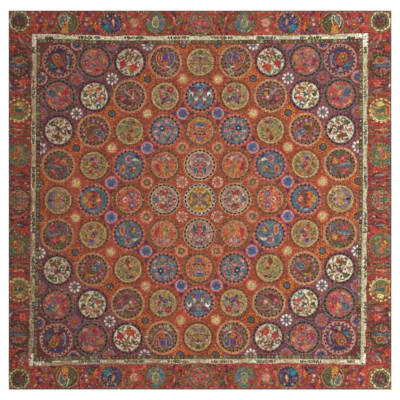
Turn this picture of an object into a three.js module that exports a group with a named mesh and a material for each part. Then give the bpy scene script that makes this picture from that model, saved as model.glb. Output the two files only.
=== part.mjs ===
// A square termeh tablecloth lying flat: a patterned field panel, four narrow cream guard strips
// sewn round it, and four wide red border strips sewn round those.
// Millimetres. +X is the cloth's right, +Y its top, +Z up. The origin is under the cloth's centre.
import * as THREE from "three";

// Driving sizes
const CLOTH_WIDTH = 1000;
const CLOTH_LENGTH = 990;
const THICKNESS = 1.5;
const SEAM_GAP = 0.3;
const LONGEST_STEP = 45;

// The two seams of each side, measured from the cloth's middle. The pieces were joined by hand, so
// the seams lean and bow. along: place on the side. field: the seam between the field panel and the
// guard strip. border: the seam between the guard strip and the border strip.
const SEAMS = {
  top: [
    { along: -440, field: 421.5, border: 434.5 },
    { along: -210, field: 417, border: 430 },
    { along: 0, field: 417.5, border: 430.5 },
    { along: 260, field: 419.5, border: 431.5 },
    { along: 440, field: 422, border: 436 },
  ],
  bottom: [
    { along: -440, field: 421.5, border: 435 },
    { along: -260, field: 417, border: 430 },
    { along: 0, field: 415, border: 429 },
    { along: 185, field: 414.5, border: 428 },
    { along: 440, field: 416.5, border: 430.5 },
  ],
  left: [
    { along: -440, field: 435.5, border: 448.5 },
    { along: -210, field: 431.5, border: 445 },
    { along: 0, field: 429, border: 442.5 },
    { along: 210, field: 428, border: 442 },
    { along: 440, field: 426.5, border: 439.5 },
  ],
  right: [
    { along: -440, field: 420, border: 434 },
    { along: -210, field: 421.5, border: 436.5 },
    { along: 0, field: 425.5, border: 438 },
    { along: 210, field: 425.5, border: 439 },
    { along: 440, field: 425.5, border: 440 },
  ],
};

// The border's woven roundels reach a little over the guard strip, which is cut round them
const ROUNDEL_RADIUS = 34;
const ROUNDEL_REACH = 3;
const ROUNDEL_PITCH = { top: 115.5, bottom: 115.5, left: 117, right: 117 };
const ROUNDELS_PER_HALF_SIDE = 3;
const STEPS_PER_HALF_ARC = 3;

const COLOURS = { field: 0x9a5238, guard: 0xb5a27c, border: 0x8a3a2c };

const { clamp, lerp, smoothstep } = THREE.MathUtils;
const HALF_GAP = SEAM_GAP / 2;
const HALF_WIDTH = CLOTH_WIDTH / 2;
const HALF_LENGTH = CLOTH_LENGTH / 2;

// From a roundel's centre to the border's seam, and half the length of seam that it pushes in
const ROUNDEL_DEPTH = ROUNDEL_RADIUS - ROUNDEL_REACH;
const HALF_ARC = Math.sqrt(ROUNDEL_RADIUS ** 2 - ROUNDEL_DEPTH ** 2);

function roundelCentres(side) {
  const centres = [];
  for (let i = -ROUNDELS_PER_HALF_SIDE; i <= ROUNDELS_PER_HALF_SIDE; i++) {
    centres.push(i * ROUNDEL_PITCH[side]);
  }
  return centres;
}

// How far the roundels push the border's seam towards the middle at a place on the side
function roundelPush(side, along) {
  const pushes = roundelCentres(side).map((centre) => {
    const squared = Math.max(0, ROUNDEL_RADIUS ** 2 - (along - centre) ** 2);
    return Math.sqrt(squared) - ROUNDEL_DEPTH;
  });
  return Math.max(0, ...pushes);
}

// A seam's distance from the middle: eased between the rows of its table
function seamAt(side, seam, along) {
  const rows = SEAMS[side];
  const place = clamp(along, rows[0].along, rows[rows.length - 1].along);
  const next = Math.max(1, rows.findIndex((row) => row.along >= place));
  const before = rows[next - 1];
  const after = rows[next];
  const share = smoothstep(place, before.along, after.along);
  const eased = lerp(before[seam], after[seam], share);
  return seam === "border" ? eased - roundelPush(side, along) : eased;
}

// The four edges of a piece. left and right give x at a height, low and high give y at a place
// across. Each stands half a gap back from its seam.
const seamEdges = {
  left: (seam, back) => (y) => -seamAt("left", seam, y) + back,
  right: (seam, back) => (y) => seamAt("right", seam, y) - back,
  low: (seam, back) => (x) => -seamAt("bottom", seam, x) + back,
  high: (seam, back) => (x) => seamAt("top", seam, x) - back,
};

const straight = (place) => () => place;

// Places on a side from one end to the other, in even steps, with closer ones over the roundels
function stations(side, from, to, overRoundels) {
  const centres = overRoundels ? roundelCentres(side) : [];
  const arcs = centres.flatMap((centre) => {
    const places = [];
    for (let i = -STEPS_PER_HALF_ARC; i <= STEPS_PER_HALF_ARC; i++) {
      places.push(centre + (HALF_ARC * i) / STEPS_PER_HALF_ARC);
    }
    return places;
  });
  const knots = [from, ...arcs, to].sort((a, b) => a - b);
  const places = [from];
  for (let i = 1; i < knots.length; i++) {
    const steps = Math.ceil((knots[i] - knots[i - 1]) / LONGEST_STEP);
    for (let step = 1; step <= steps; step++) {
      places.push(lerp(knots[i - 1], knots[i], step / steps));
    }
  }
  return places;
}

const shares = (places) =>
  places.map((place) => (place - places[0]) / (places[places.length - 1] - places[0]));

// The point of a piece at a share of its width and of its height
function pointIn(edges, across, up) {
  const roughY = lerp(edges.low(0), edges.high(0), up);
  const roughX = lerp(edges.left(roughY), edges.right(roughY), across);
  const y = lerp(edges.low(roughX), edges.high(roughX), up);
  const x = lerp(edges.left(y), edges.right(y), across);
  return [x, y];
}

// A closed slab over a grid of points, with flat faces below and above
function slab(edges, columns, rows) {
  const positions = [];
  for (const z of [0, THICKNESS]) {
    for (const up of rows) {
      for (const across of columns) {
        positions.push(...pointIn(edges, across, up), z);
      }
    }
  }
  const wide = columns.length;
  const tall = rows.length;
  const at = (column, row, layer) => (layer * tall + row) * wide + column;
  const triangles = [];
  const quad = (a, b, c, d) => triangles.push(a, b, c, a, c, d);
  for (let row = 1; row < tall; row++) {
    for (let column = 1; column < wide; column++) {
      const ring = [
        [column - 1, row - 1],
        [column, row - 1],
        [column, row],
        [column - 1, row],
      ];
      quad(...ring.map(([i, j]) => at(i, j, 1)));
      quad(...ring.reverse().map(([i, j]) => at(i, j, 0)));
    }
  }
  const wall = (a, b) => quad(at(...a, 0), at(...b, 0), at(...b, 1), at(...a, 1));
  for (let column = 1; column < wide; column++) {
    wall([column - 1, 0], [column, 0]);
    wall([column, tall - 1], [column - 1, tall - 1]);
  }
  for (let row = 1; row < tall; row++) {
    wall([wide - 1, row - 1], [wide - 1, row]);
    wall([0, row], [0, row - 1]);
  }
  const geometry = new THREE.BufferGeometry();
  geometry.setAttribute("position", new THREE.Float32BufferAttribute(positions, 3));
  geometry.setIndex(triangles);
  geometry.computeVertexNormals();
  return geometry;
}

const cloth = new THREE.Group();

function addPiece(name, colour, edges, columns, rows) {
  const geometry = slab(edges, columns, rows);
  const material = new THREE.MeshStandardMaterial({ color: colour, roughness: 0.9, metalness: 0 });
  const mesh = new THREE.Mesh(geometry, material);
  mesh.name = name;
  cloth.add(mesh);
}

// The widest and tallest reach of the strips, for spacing their points
const fieldReach = SEAMS.right[4].field;
const guardReach = SEAMS.top[0].border;
const ENDS = [0, 1];

function addField() {
  const edges = {
    left: seamEdges.left("field", HALF_GAP),
    right: seamEdges.right("field", HALF_GAP),
    low: seamEdges.low("field", HALF_GAP),
    high: seamEdges.high("field", HALF_GAP),
  };
  const columns = shares(stations("top", -fieldReach, fieldReach, false));
  const rows = shares(stations("left", -fieldReach, fieldReach, false));
  addPiece("field_panel", COLOURS.field, edges, columns, rows);
}

// A guard strip and a border strip at the left or right, both as tall as the frame of guard strips
function addUprightStrips(side) {
  const low = seamEdges.low("border", HALF_GAP);
  const high = seamEdges.high("border", HALF_GAP);
  const rows = shares(stations(side, -guardReach, guardReach, true));
  const atField = seamEdges[side]("field", -HALF_GAP);
  const insideSeam = seamEdges[side]("border", HALF_GAP);
  const outsideSeam = seamEdges[side]("border", -HALF_GAP);
  const isLeft = side === "left";
  const guard = isLeft ? { left: insideSeam, right: atField } : { left: atField, right: insideSeam };
  const border = isLeft
    ? { left: straight(-HALF_WIDTH), right: outsideSeam }
    : { left: outsideSeam, right: straight(HALF_WIDTH) };
  addPiece(`guard_${side}`, COLOURS.guard, { ...guard, low, high }, ENDS, rows);
  addPiece(`border_${side}`, COLOURS.border, { ...border, low, high }, ENDS, rows);
}

// A guard strip at the top or bottom, butted between the upright ones, and a border strip as wide
// as the cloth
function addLevelStrips(side) {
  const isTop = side === "top";
  const edge = isTop ? "high" : "low";
  const atField = seamEdges[edge]("field", -HALF_GAP);
  const insideSeam = seamEdges[edge]("border", HALF_GAP);
  const outsideSeam = seamEdges[edge]("border", -HALF_GAP);
  const guard = {
    left: seamEdges.left("field", HALF_GAP),
    right: seamEdges.right("field", HALF_GAP),
    low: isTop ? atField : insideSeam,
    high: isTop ? insideSeam : atField,
  };
  const border = {
    left: straight(-HALF_WIDTH),
    right: straight(HALF_WIDTH),
    low: isTop ? outsideSeam : straight(-HALF_LENGTH),
    high: isTop ? straight(HALF_LENGTH) : outsideSeam,
  };
  const heightInside = isTop ? fieldReach : -fieldReach;
  const from = guard.left(heightInside);
  const to = guard.right(heightInside);
  const guardColumns = shares(stations(side, from, to, true));
  const borderColumns = shares(stations(side, -HALF_WIDTH, HALF_WIDTH, true));
  addPiece(`guard_${side}`, COLOURS.guard, guard, guardColumns, ENDS);
  addPiece(`border_${side}`, COLOURS.border, border, borderColumns, ENDS);
}

addField();
addUprightStrips("left");
addUprightStrips("right");
addLevelStrips("top");
addLevelStrips("bottom");

export default cloth;
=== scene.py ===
# The looks of a termeh tablecloth: the woven pattern, the seams' whipping, the hem and the yarn.
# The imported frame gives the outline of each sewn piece. Metres, +Y towards the cloth's top edge.
import bpy
import math
import random
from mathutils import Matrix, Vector, noise
from mathutils.geometry import delaunay_2d_cdt


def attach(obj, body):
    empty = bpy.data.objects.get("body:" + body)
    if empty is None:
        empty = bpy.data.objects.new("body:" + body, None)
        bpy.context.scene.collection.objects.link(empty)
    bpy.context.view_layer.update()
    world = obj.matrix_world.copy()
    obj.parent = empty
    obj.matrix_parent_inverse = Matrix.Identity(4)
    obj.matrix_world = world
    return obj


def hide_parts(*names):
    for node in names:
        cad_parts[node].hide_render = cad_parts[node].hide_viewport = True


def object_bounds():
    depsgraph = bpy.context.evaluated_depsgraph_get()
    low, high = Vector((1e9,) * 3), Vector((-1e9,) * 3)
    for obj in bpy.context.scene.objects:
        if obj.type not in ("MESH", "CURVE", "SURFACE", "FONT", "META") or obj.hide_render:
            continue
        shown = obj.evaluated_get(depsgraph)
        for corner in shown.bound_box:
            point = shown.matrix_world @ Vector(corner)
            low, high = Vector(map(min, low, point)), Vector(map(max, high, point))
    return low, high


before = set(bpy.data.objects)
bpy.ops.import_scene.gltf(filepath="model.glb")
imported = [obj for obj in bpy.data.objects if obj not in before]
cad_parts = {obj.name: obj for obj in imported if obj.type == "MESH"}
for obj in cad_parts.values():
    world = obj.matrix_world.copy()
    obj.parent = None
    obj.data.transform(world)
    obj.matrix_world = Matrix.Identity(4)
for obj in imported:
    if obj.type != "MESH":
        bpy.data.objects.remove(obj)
cad_low, cad_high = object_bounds()

# Noise vectors take their seed from the clock unless one is set
noise.seed_set(11)

# The cloth
HALF_WIDTH = cad_high.x
HALF_LENGTH = cad_high.y
THICKNESS = cad_high.z - cad_low.z
HEM_WIDTH = 0.0034
HEM_RAISE = 0.0004
HEM_LINE = 0.0022

# A sheet's rounded edge, from its face down. Each step of it: (how far out, how far down)
EDGE_ROUND = 0.00035
EDGE_STEPS = (
    (EDGE_ROUND * 0.7, 0.00012), (EDGE_ROUND, 0.0005), (EDGE_ROUND, THICKNESS - 0.0003), (0, THICKNESS),
)

# How far apart a sheet's points are where no pattern needs them, and how far off a straight edge a
# point may stand and still be left out
FACE_SPACING = 0.015
UNDER_SPACING = 0.02
STRAIGHT_WITHIN = 4e-6

# Soft waves, as of a cloth smoothed by hand. Each of them: (scale, place in the noise, share)
WAVE_HEIGHT = 0.0009
WAVE_MIDDLE = 0.55
WAVES = ((3.1, 4.7, 0.9), (9.0, 1.3, 0.3))

# The field's roundels: nine each way, counted from -4 to 4. Their rows and columns lean and bow, so
# these are the centres of the corner and middle ones, and the others lie on curves between them.
LAST = 4
LATTICE = {
    1: {-1: (-0.3683, 0.3624), 0: (0.0012, 0.3608), 1: (0.3671, 0.3659)},
    0: {-1: (-0.3711, -0.0011), 0: (-0.0009, 0.0018), 1: (0.3667, 0.0033)},
    -1: {-1: (-0.3761, -0.3658), 0: (-0.0054, -0.3590), 1: (0.3632, -0.3602)},
}
PITCH = 0.0919
MM = 0.001
ROSETTE = 0.0314
BEADS = 22
LOBE_DEPTH = 0.95

# How far the pattern's lines waver, and on what scale
WEAVE_WOBBLE = 0.0005
WOBBLE_SCALE = 38

# How many flecks of other yarns show, from 0 for none to 1 for the most
SHAPE_FLECKS = 0.25
BLOCK_FLECKS = 0.3
GUARD_FLECKS = 0.1
GROUND_FLECKS = 0.2
SPECK_FLECKS = 0.1
DISC_FLECKS = 0.4
PETAL_FLECKS = 0.4
HEM_SHADE_FLECKS = 0.6
CLOTH_FLECKS = 0.8
UNDER_FLECKS = 0.4

# Specks on the field's ground, and how far they stay from the middle of what lies on it
SPECK_ROWS = 12
SPECK_LONG = 0.0019
SPECK_WIDE = 0.0012
CLEAR_OF_ROUNDEL = 0.0455
CLEAR_OF_ROSETTE = 0.022

# Rows of dots from a rosette, in shares of the lattice's step
LINK_DOTS = 4
LINK_START = 0.28
LINK_STEP = 0.06
LINK_LANE = 0.032
LINK_SIZE = 0.0014

# The inner guard along the field's edge
BLOCK_DEPTH = 0.0092
BLOCK_LENGTH = 0.0112
BLOCK_FLOWER = 0.0026
BLOCK_LINE = 0.0016

# The border's roundels
BORDER_PITCH = {"level": 0.1155, "upright": 0.117}
BORDER_DEPTH = {"level": 0.033, "upright": 0.026}
BORDER_UNIT = 0.03
GARDEN_UNIT = 0.025
CORNER_DEPTH = 0.0275
BAND_DEPTH = 0.064
HALF_SIDE = {"level": HALF_WIDTH, "upright": HALF_LENGTH}

# Strewn petals: how far apart they are, and (length, width, the angles that they lie between)
PETAL_PITCH = 0.0095
PETALS = {"level": (0.0085, 0.0044, (20, 140)), "upright": (0.0125, 0.0034, (75, 105))}
GUARD_PETAL_PITCH = 0.0065
GUARD_PETAL = (0.0034, 0.002, (20, 140))

# The guard's leaves: how many each way from the middle between two roundels, and how they lie
GUARD_HALF = 0.016
LEAVES_EACH_WAY = 5
LEAF_PITCH = 0.0052
LEAF_WIDTH = 0.0056
LEAF_SHIFT = 0.0014
LEAF_REACH = (0.003, 0.006)
LEAF_LEAN = 0.006
LEAF_EXTRA = 0.001

# Painted light: every yarn grows lighter towards the cloth's right edge, as light falling more from that
# side makes it; the rates in red, green and blue, over its whole width
PAINTED_LIGHT_RATES = (0.62, 0.75, 0.81)

# Yarns, as red, green and blue from 0 to 255
YARNS = {
    "brick": (152, 80, 56), "rust": (152, 76, 42), "maroon": (112, 58, 54), "plum": (112, 66, 72),
    "wine": (98, 40, 46), "crimson": (168, 56, 60), "scarlet": (190, 66, 50),
    "coral": (206, 102, 80), "salmon": (208, 138, 104), "peach": (192, 114, 78),
    "shell": (178, 136, 118), "dusty_red": (162, 88, 82), "rose": (192, 98, 102),
    "pink": (208, 134, 130), "magenta": (166, 60, 92), "orange": (208, 108, 50),
    "amber": (202, 140, 62), "mustard": (184, 150, 66), "old_gold": (162, 134, 86),
    "straw": (208, 178, 114), "cream": (208, 192, 152), "ivory": (232, 222, 200),
    "chalk": (216, 202, 176), "olive": (124, 108, 58), "moss": (92, 92, 56), "leaf": (106, 124, 70),
    "sage": (136, 140, 104), "teal": (70, 108, 106), "sea": (62, 118, 132),
    "steel": (108, 118, 122), "blue": (88, 110, 146), "slate": (96, 94, 106), "navy": (58, 56, 86),
    "violet": (106, 80, 122), "mauve": (140, 106, 114), "lilac": (172, 146, 160),
    "purple": (104, 58, 80), "brown": (112, 74, 48), "umber": (84, 60, 46), "henna": (166, 79, 51),
    "grape": (134, 76, 76), "milk": (226, 212, 170), "oat": (190, 164, 128),
    "blush": (192, 154, 138), "russet": (132, 88, 68), "bronze": (130, 98, 62),
    "wheat": (188, 154, 112), "pine": (72, 88, 78), "black": (34, 26, 24), "tan": (166, 128, 92),
    "pewter": (118, 112, 106), "grey": (150, 142, 132),
}


def linear(level):
    """A level of light as Blender takes it, from one of a picture."""
    share = level / 255
    return share / 12.92 if share <= 0.04045 else ((share + 0.055) / 1.055) ** 2.4


# How bright the light is on a white floor: the yarns are darker by as much
LIGHT_LEVEL = 1.5


def yarn_colour(yarn, shade):
    return [linear(level) * shade / LIGHT_LEVEL for level in YARNS[yarn]]


def with_painted_light(colour, x):
    """A yarn's colour at a place across the cloth, with painted light that brightens it towards the right
    edge.
    """
    return [channel * math.exp(rate * x) for channel, rate in zip(colour, PAINTED_LIGHT_RATES)]


# Shapes

GOLDEN_ANGLE = 2.39996
ARC_STEP = 24


def round_points(x, y, wide, tall, turn, sides):
    cos, sin = math.cos(math.radians(turn)), math.sin(math.radians(turn))
    points = []
    for i in range(sides):
        angle = math.tau * (i + 0.5) / sides
        u, v = wide * math.cos(angle), tall * math.sin(angle)
        points.append((x + u * cos - v * sin, y + u * sin + v * cos))
    return points


def along_curve(start, end, bend, share):
    """A point and direction on a curve that bends to its left by a share of its length."""
    dx, dy = end[0] - start[0], end[1] - start[1]
    middle = ((start[0] + end[0]) / 2 - dy * bend, (start[1] + end[1]) / 2 + dx * bend)
    rest = 1 - share
    x = rest * rest * start[0] + 2 * rest * share * middle[0] + share * share * end[0]
    y = rest * rest * start[1] + 2 * rest * share * middle[1] + share * share * end[1]
    u = rest * (middle[0] - start[0]) + share * (end[0] - middle[0])
    v = rest * (middle[1] - start[1]) + share * (end[1] - middle[1])
    size = math.hypot(u, v) or 1
    return x, y, u / size, v / size


def tapered_points(start, end, bend, half_widths):
    """A shape along a curve. half_widths: (share of the curve, half width) from start to end."""
    left, right = [], []
    for share, half in half_widths:
        x, y, u, v = along_curve(start, end, bend, share)
        left.append((x - v * half, y + u * half))
        if half:
            right.append((x + v * half, y - u * half))
    return left + right[::-1]


class Drawing:
    """Flat coloured shapes, of which a later one covers an earlier one.

    busy: how many flecks of other yarns a shape shows, from 0 to 1.
    """

    def __init__(self, seed=0):
        self.shapes = []
        self.random = random.Random(seed)

    def add(self, yarn, points, busy=SHAPE_FLECKS):
        self.shapes.append((yarn, points, busy))

    def oval(self, yarn, x, y, wide, tall=None, turn=0, sides=8, busy=SHAPE_FLECKS):
        self.add(yarn, round_points(x, y, wide, tall or wide, turn, sides), busy)

    def leaf(self, yarn, start, end, wide, bend=0.12):
        halves = [(0, 0), (0.3, wide * 0.45), (0.6, wide * 0.42), (1, 0)]
        self.add(yarn, tapered_points(start, end, bend, halves))

    def drop(self, yarn, head, size, tip, bend=0, edge=None, rim=0.06):
        """A paisley: a round head that tapers to a bent tip, with an edge of another yarn if named."""
        for name, grow in ((edge, rim), (yarn, 0)):
            if not name:
                continue
            wide = size + grow
            reach = math.hypot(tip[0] - head[0], tip[1] - head[1])
            tip_x = tip[0] + (tip[0] - head[0]) / reach * grow * 1.5
            tip_y = tip[1] + (tip[1] - head[1]) / reach * grow * 1.5
            _, _, u, v = along_curve(head, (tip_x, tip_y), bend, 0)
            points = []
            for angle in (120, 150, 180, 210, 240):
                cos, sin = math.cos(math.radians(angle)), math.sin(math.radians(angle))
                x = head[0] + wide * (u * cos - v * sin)
                y = head[1] + wide * (v * cos + u * sin)
                points.append((x, y))
            halves = [(0.12, wide), (0.38, wide * 0.8), (0.68, wide * 0.42), (1, 0)]
            body = tapered_points(head, (tip_x, tip_y), bend, halves)
            self.add(name, points + body[:0:-1] + body[:1])

    def stroke(self, yarn, wide, start, end, bend=0):
        halves = [(0, wide * 0.3), (0.25, wide / 2), (0.5, wide / 2), (0.75, wide / 2), (1, wide * 0.3)]
        self.add(yarn, tapered_points(start, end, bend, halves))

    def arc(self, yarn, x, y, radius, first, last, wide):
        """A crescent about a centre, from one angle to another, widest at its middle."""
        steps = max(3, int(abs(last - first) / ARC_STEP))
        outside, inside = [], []
        for i in range(steps + 1):
            share = i / steps
            angle = math.radians(first + (last - first) * share)
            half = wide / 2 * math.sin(math.pi * (0.06 + 0.88 * share))
            cos, sin = math.cos(angle), math.sin(angle)
            outside.append((x + (radius + half) * cos, y + (radius + half) * sin))
            inside.append((x + (radius - half) * cos, y + (radius - half) * sin))
        self.add(yarn, outside + inside[::-1])

    def flower(self, yarn, x, y, size, eye=None, petals=5, turn=0, depth=0.62):
        points = []
        for i in range(petals * 2):
            angle = math.radians(turn) + math.pi * i / petals
            reach = size if i % 2 else size * depth
            points.append((x + reach * math.cos(angle), y + reach * math.sin(angle)))
        self.add(yarn, points)
        if eye:
            self.oval(eye, x, y, size * 0.36, sides=5)

    def dots(self, yarn, size, *places):
        for x, y in places:
            self.oval(yarn, x, y, size, sides=5)

    def beads(self, yarn, x, y, radius, count, long, wide, turn=0, sides=6):
        for i in range(count):
            angle = math.tau * (i + turn) / count
            place = (x + radius * math.cos(angle), y + radius * math.sin(angle))
            self.oval(yarn, *place, long, wide, math.degrees(angle), sides)

    def sprinkle(self, yarns, count, reach=0.93, size=0.115):
        """Small petals and dots strewn evenly over a disc."""
        names = yarns.split()
        for i in range(count):
            radius = reach * math.sqrt((i + 0.5) / count)
            angle = i * GOLDEN_ANGLE + self.random.uniform(-0.3, 0.3)
            x, y = radius * math.cos(angle), radius * math.sin(angle)
            turn = self.random.uniform(0, 180)
            long = size * self.random.uniform(0.8, 1.5)
            wide = size * self.random.uniform(0.4, 0.8)
            self.oval(names[i % len(names)], x, y, long, wide, turn, self.random.choice((4, 5, 6)))

    def mirror(self, across=True):
        """Repeats each shape that is off the axis on its other side: left to right, or top to bottom."""
        axis = 0 if across else 1
        both = []
        for yarn, points, busy in self.shapes:
            both.append((yarn, points, busy))
            if abs(sum(point[axis] for point in points)) > 0.01 * len(points):
                flipped = [(-x, y) if across else (x, -y) for x, y in points]
                both.append((yarn, flipped, busy))
        self.shapes = both

    def lay(self, motif, place):
        """Draws another drawing here. place: from a point of that one to a point of this one."""
        for yarn, points, busy in motif.shapes:
            self.add(yarn, [place(u, v) for u, v in points], busy)

    def stamp(self, motif, x, y, size, flip=(1, 1)):
        self.lay(motif, lambda u, v: (x + u * flip[0] * size, y + v * flip[1] * size))


# The motifs of the field's roundels, as in the cloth's upper left quarter. One unit is the disc's
# radius. Each is a plain garden of the traditional kind: paisleys, leaves, blossoms and buds.

def corner_paisley(m):
    m.sprinkle("slate violet teal umber wine purple", 40)
    m.arc("navy", 0, 0, 0.84, 50, 140, 0.3)
    m.arc("grey", 0, 0, 0.76, -20, 45, 0.16)
    m.arc("lilac", 0, 0, 0.8, -60, -12, 0.18)
    m.oval("teal", -0.5, -0.36, 0.34, 0.2, 15)
    m.arc("sea", -0.45, -0.36, 0.2, 180, 330, 0.12)
    m.oval("navy", -0.4, -0.62, 0.3, 0.1, -20)
    m.leaf("leaf", (-0.85, -0.1), (-0.5, -0.2), 0.16)
    m.leaf("shell", (-0.12, -0.95), (0.12, -0.55), 0.3)
    m.leaf("sage", (-0.25, -0.9), (0.3, -0.9), 0.16)
    m.drop("brick", (-0.22, 0.26), 0.42, (0.6, -0.66), -0.16, edge="wine", rim=0.08)
    m.drop("rust", (-0.2, 0.24), 0.31, (0.5, -0.5), -0.16, edge="peach", rim=0.03)
    m.drop("dusty_red", (0.18, -0.14), 0.16, (0.5, -0.52), -0.1)
    m.beads("salmon", -0.22, 0.27, 0.28, 9, 0.06, 0.05, sides=5)
    m.oval("moss", -0.22, 0.27, 0.2, sides=8)
    m.arc("steel", 0.3, 0.28, 0.5, -60, 30, 0.14)
    m.arc("mauve", 0.1, -0.06, 0.4, -80, 10, 0.08)
    m.leaf("crimson", (-0.02, 0.1), (0.3, -0.3), 0.12)
    m.flower("olive", -0.22, 0.27, 0.17, eye="mustard")
    m.oval("wine", 0.22, -0.52, 0.2, 0.16, 30)
    m.oval("maroon", 0.4, 0.12, 0.3, 0.05, -45)


def salmon_garden(m):
    m.sprinkle("rose mauve shell crimson dusty_red coral sage", 50)
    m.arc("salmon", -0.1, 0.2, 0.6, 60, 150, 0.22)
    m.oval("slate", -0.8, 0.3, 0.1, 0.16)
    m.oval("moss", -0.34, 0.34, 0.12, 0.1)
    m.oval("slate", 0.3, 0.5, 0.16, 0.1, 30)
    m.flower("magenta", -0.66, 0, 0.26, eye="purple")
    m.flower("peach", -0.42, 0.68, 0.2)
    m.flower("peach", 0.7, 0.16, 0.28, eye="amber")
    m.leaf("leaf", (0.36, 0.1), (0.6, 0.42), 0.2)
    m.dots("mustard", 0.06, (0.53, 0.28), (0.2, 0.1))
    m.oval("teal", 0.05, -0.28, 0.22, 0.1, 10)
    m.leaf("moss", (0.86, -0.46), (0.8, -0.02), 0.2)
    m.flower("scarlet", 0.16, -0.62, 0.26, eye="wine")
    m.leaf("scarlet", (0.26, -0.4), (0.36, 0.0), 0.12)
    m.flower("magenta", 0.66, -0.66, 0.2)
    m.leaf("plum", (-0.8, -0.3), (-0.3, -0.26), 0.12)
    m.leaf("pink", (-0.7, -0.62), (-0.2, -0.8), 0.2)
    m.arc("mauve", 0, 0, 0.5, 100, 170, 0.08)


def white_garden(m):
    m.sprinkle("tan rust olive brown sage crimson moss salmon", 46, size=0.15)
    m.stroke("brown", 0.08, (-0.3, 0.85), (0.1, 0.3), 0.1)
    m.stroke("moss", 0.07, (0.1, 0.9), (0.0, 0.2), -0.1)
    m.leaf("brown", (-0.5, 0.62), (-0.05, 0.5), 0.16)
    m.leaf("rust", (0.1, 0.5), (0.56, 0.78), 0.14)
    m.leaf("brown", (-0.45, 0.3), (0.1, 0.2), 0.14)
    m.flower("tan", -0.05, 0.3, 0.22, eye="brown")
    m.leaf("olive", (0.3, 0.0), (0.66, 0.4), 0.26)
    m.leaf("moss", (0.36, 0.34), (0.8, 0.2), 0.14)
    m.flower("crimson", -0.5, -0.12, 0.34, eye="scarlet", petals=6)
    m.leaf("crimson", (-0.78, -0.3), (-0.3, -0.44), 0.16)
    m.flower("scarlet", 0.22, -0.46, 0.36, eye="orange", petals=6)
    m.leaf("crimson", (0.3, -0.3), (0.74, -0.5), 0.18)
    m.leaf("leaf", (-0.82, -0.66), (-0.4, -0.76), 0.2)
    m.stroke("sage", 0.06, (-0.2, -0.3), (-0.3, -0.9), 0.15)
    m.leaf("olive", (-0.1, -0.7), (0.4, -0.86), 0.14)
    m.dots("rose", 0.07, (0.84, -0.14), (-0.75, 0.4), (0.5, 0.62))
    m.dots("ivory", 0.08, (0.6, -0.24), (-0.62, 0.66), (0.86, 0.2), (0, -0.16), (-0.2, -0.62))


def twin_paisleys(m):
    m.sprinkle("moss plum olive mauve umber brown", 50)
    m.leaf("violet", (0, 0.0), (0.0, 0.76), 0.5, 0)
    m.flower("purple", 0, 0.4, 0.2, eye="violet")
    m.drop("dusty_red", (-0.42, 0.5), 0.17, (-0.08, -0.44), -0.42, edge="salmon", rim=0.06)
    m.drop("coral", (-0.43, 0.48), 0.08, (-0.24, -0.24), -0.36, edge="umber", rim=0.05)
    m.drop("slate", (0.46, 0.5), 0.19, (0.1, -0.4), 0.42, edge="lilac", rim=0.06)
    m.drop("mauve", (0.48, 0.48), 0.09, (0.26, -0.2), 0.36, edge="umber", rim=0.04)
    m.leaf("ivory", (0.42, -0.5), (-0.02, -0.36), 0.08, -0.3)
    m.dots("slate", 0.07, (0.46, 0.46), (0.6, 0.3))
    m.flower("orange", 0, -0.12, 0.24, eye="scarlet")
    m.leaf("coral", (0, -0.3), (0.04, -0.66), 0.22, 0)
    m.arc("rose", -0.12, -0.46, 0.34, 190, 330, 0.09)
    m.drop("sage", (0.3, -0.82), 0.13, (0.66, -0.52), 0.1, edge="cream", rim=0.04)
    m.flower("pink", 0.68, -0.56, 0.14, eye="crimson")
    m.dots("sage", 0.08, (-0.62, -0.62), (-0.86, -0.1), (0.86, 0.0))
    m.dots("leaf", 0.07, (0.1, 0.88), (-0.2, 0.84), (0.3, -0.95))


def gold_emblem(m):
    m.sprinkle("wheat olive tan old_gold bronze shell", 50)
    m.oval("moss", 0, 0.8, 0.22, 0.15, sides=6)
    m.leaf("olive", (0.25, 0.72), (0.62, 0.62), 0.2)
    m.arc("mauve", 0, 0.0, 0.44, 15, 165, 0.16)
    m.arc("purple", 0, 0.02, 0.3, 30, 150, 0.1)
    m.oval("purple", 0, 0.3, 0.1, 0.18, sides=6)
    m.dots("ivory", 0.05, (0, 0.5), (0.14, 0.44))
    m.leaf("mauve", (0.5, 0.3), (0.66, -0.1), 0.14)
    m.dots("rust", 0.08, (0.76, 0.06), (0.46, 0.1))
    m.arc("peach", 0, -0.44, 0.44, 15, 165, 0.15)
    m.arc("olive", 0, -0.44, 0.28, 20, 160, 0.07)
    m.dots("brown", 0.06, (0, -0.12), (0.3, -0.2), (0.62, -0.2))
    m.arc("pink", 0.24, -0.48, 0.16, 0, 220, 0.07)
    m.dots("mauve", 0.07, (0.25, -0.44), (0.5, -0.52))
    m.leaf("pewter", (0.04, -0.6), (0.4, -0.88), 0.2)
    m.stroke("slate", 0.08, (0, -0.3), (0, -0.9))
    m.dots("olive", 0.07, (0.55, 0.59), (0.78, -0.36))
    m.mirror()


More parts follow.
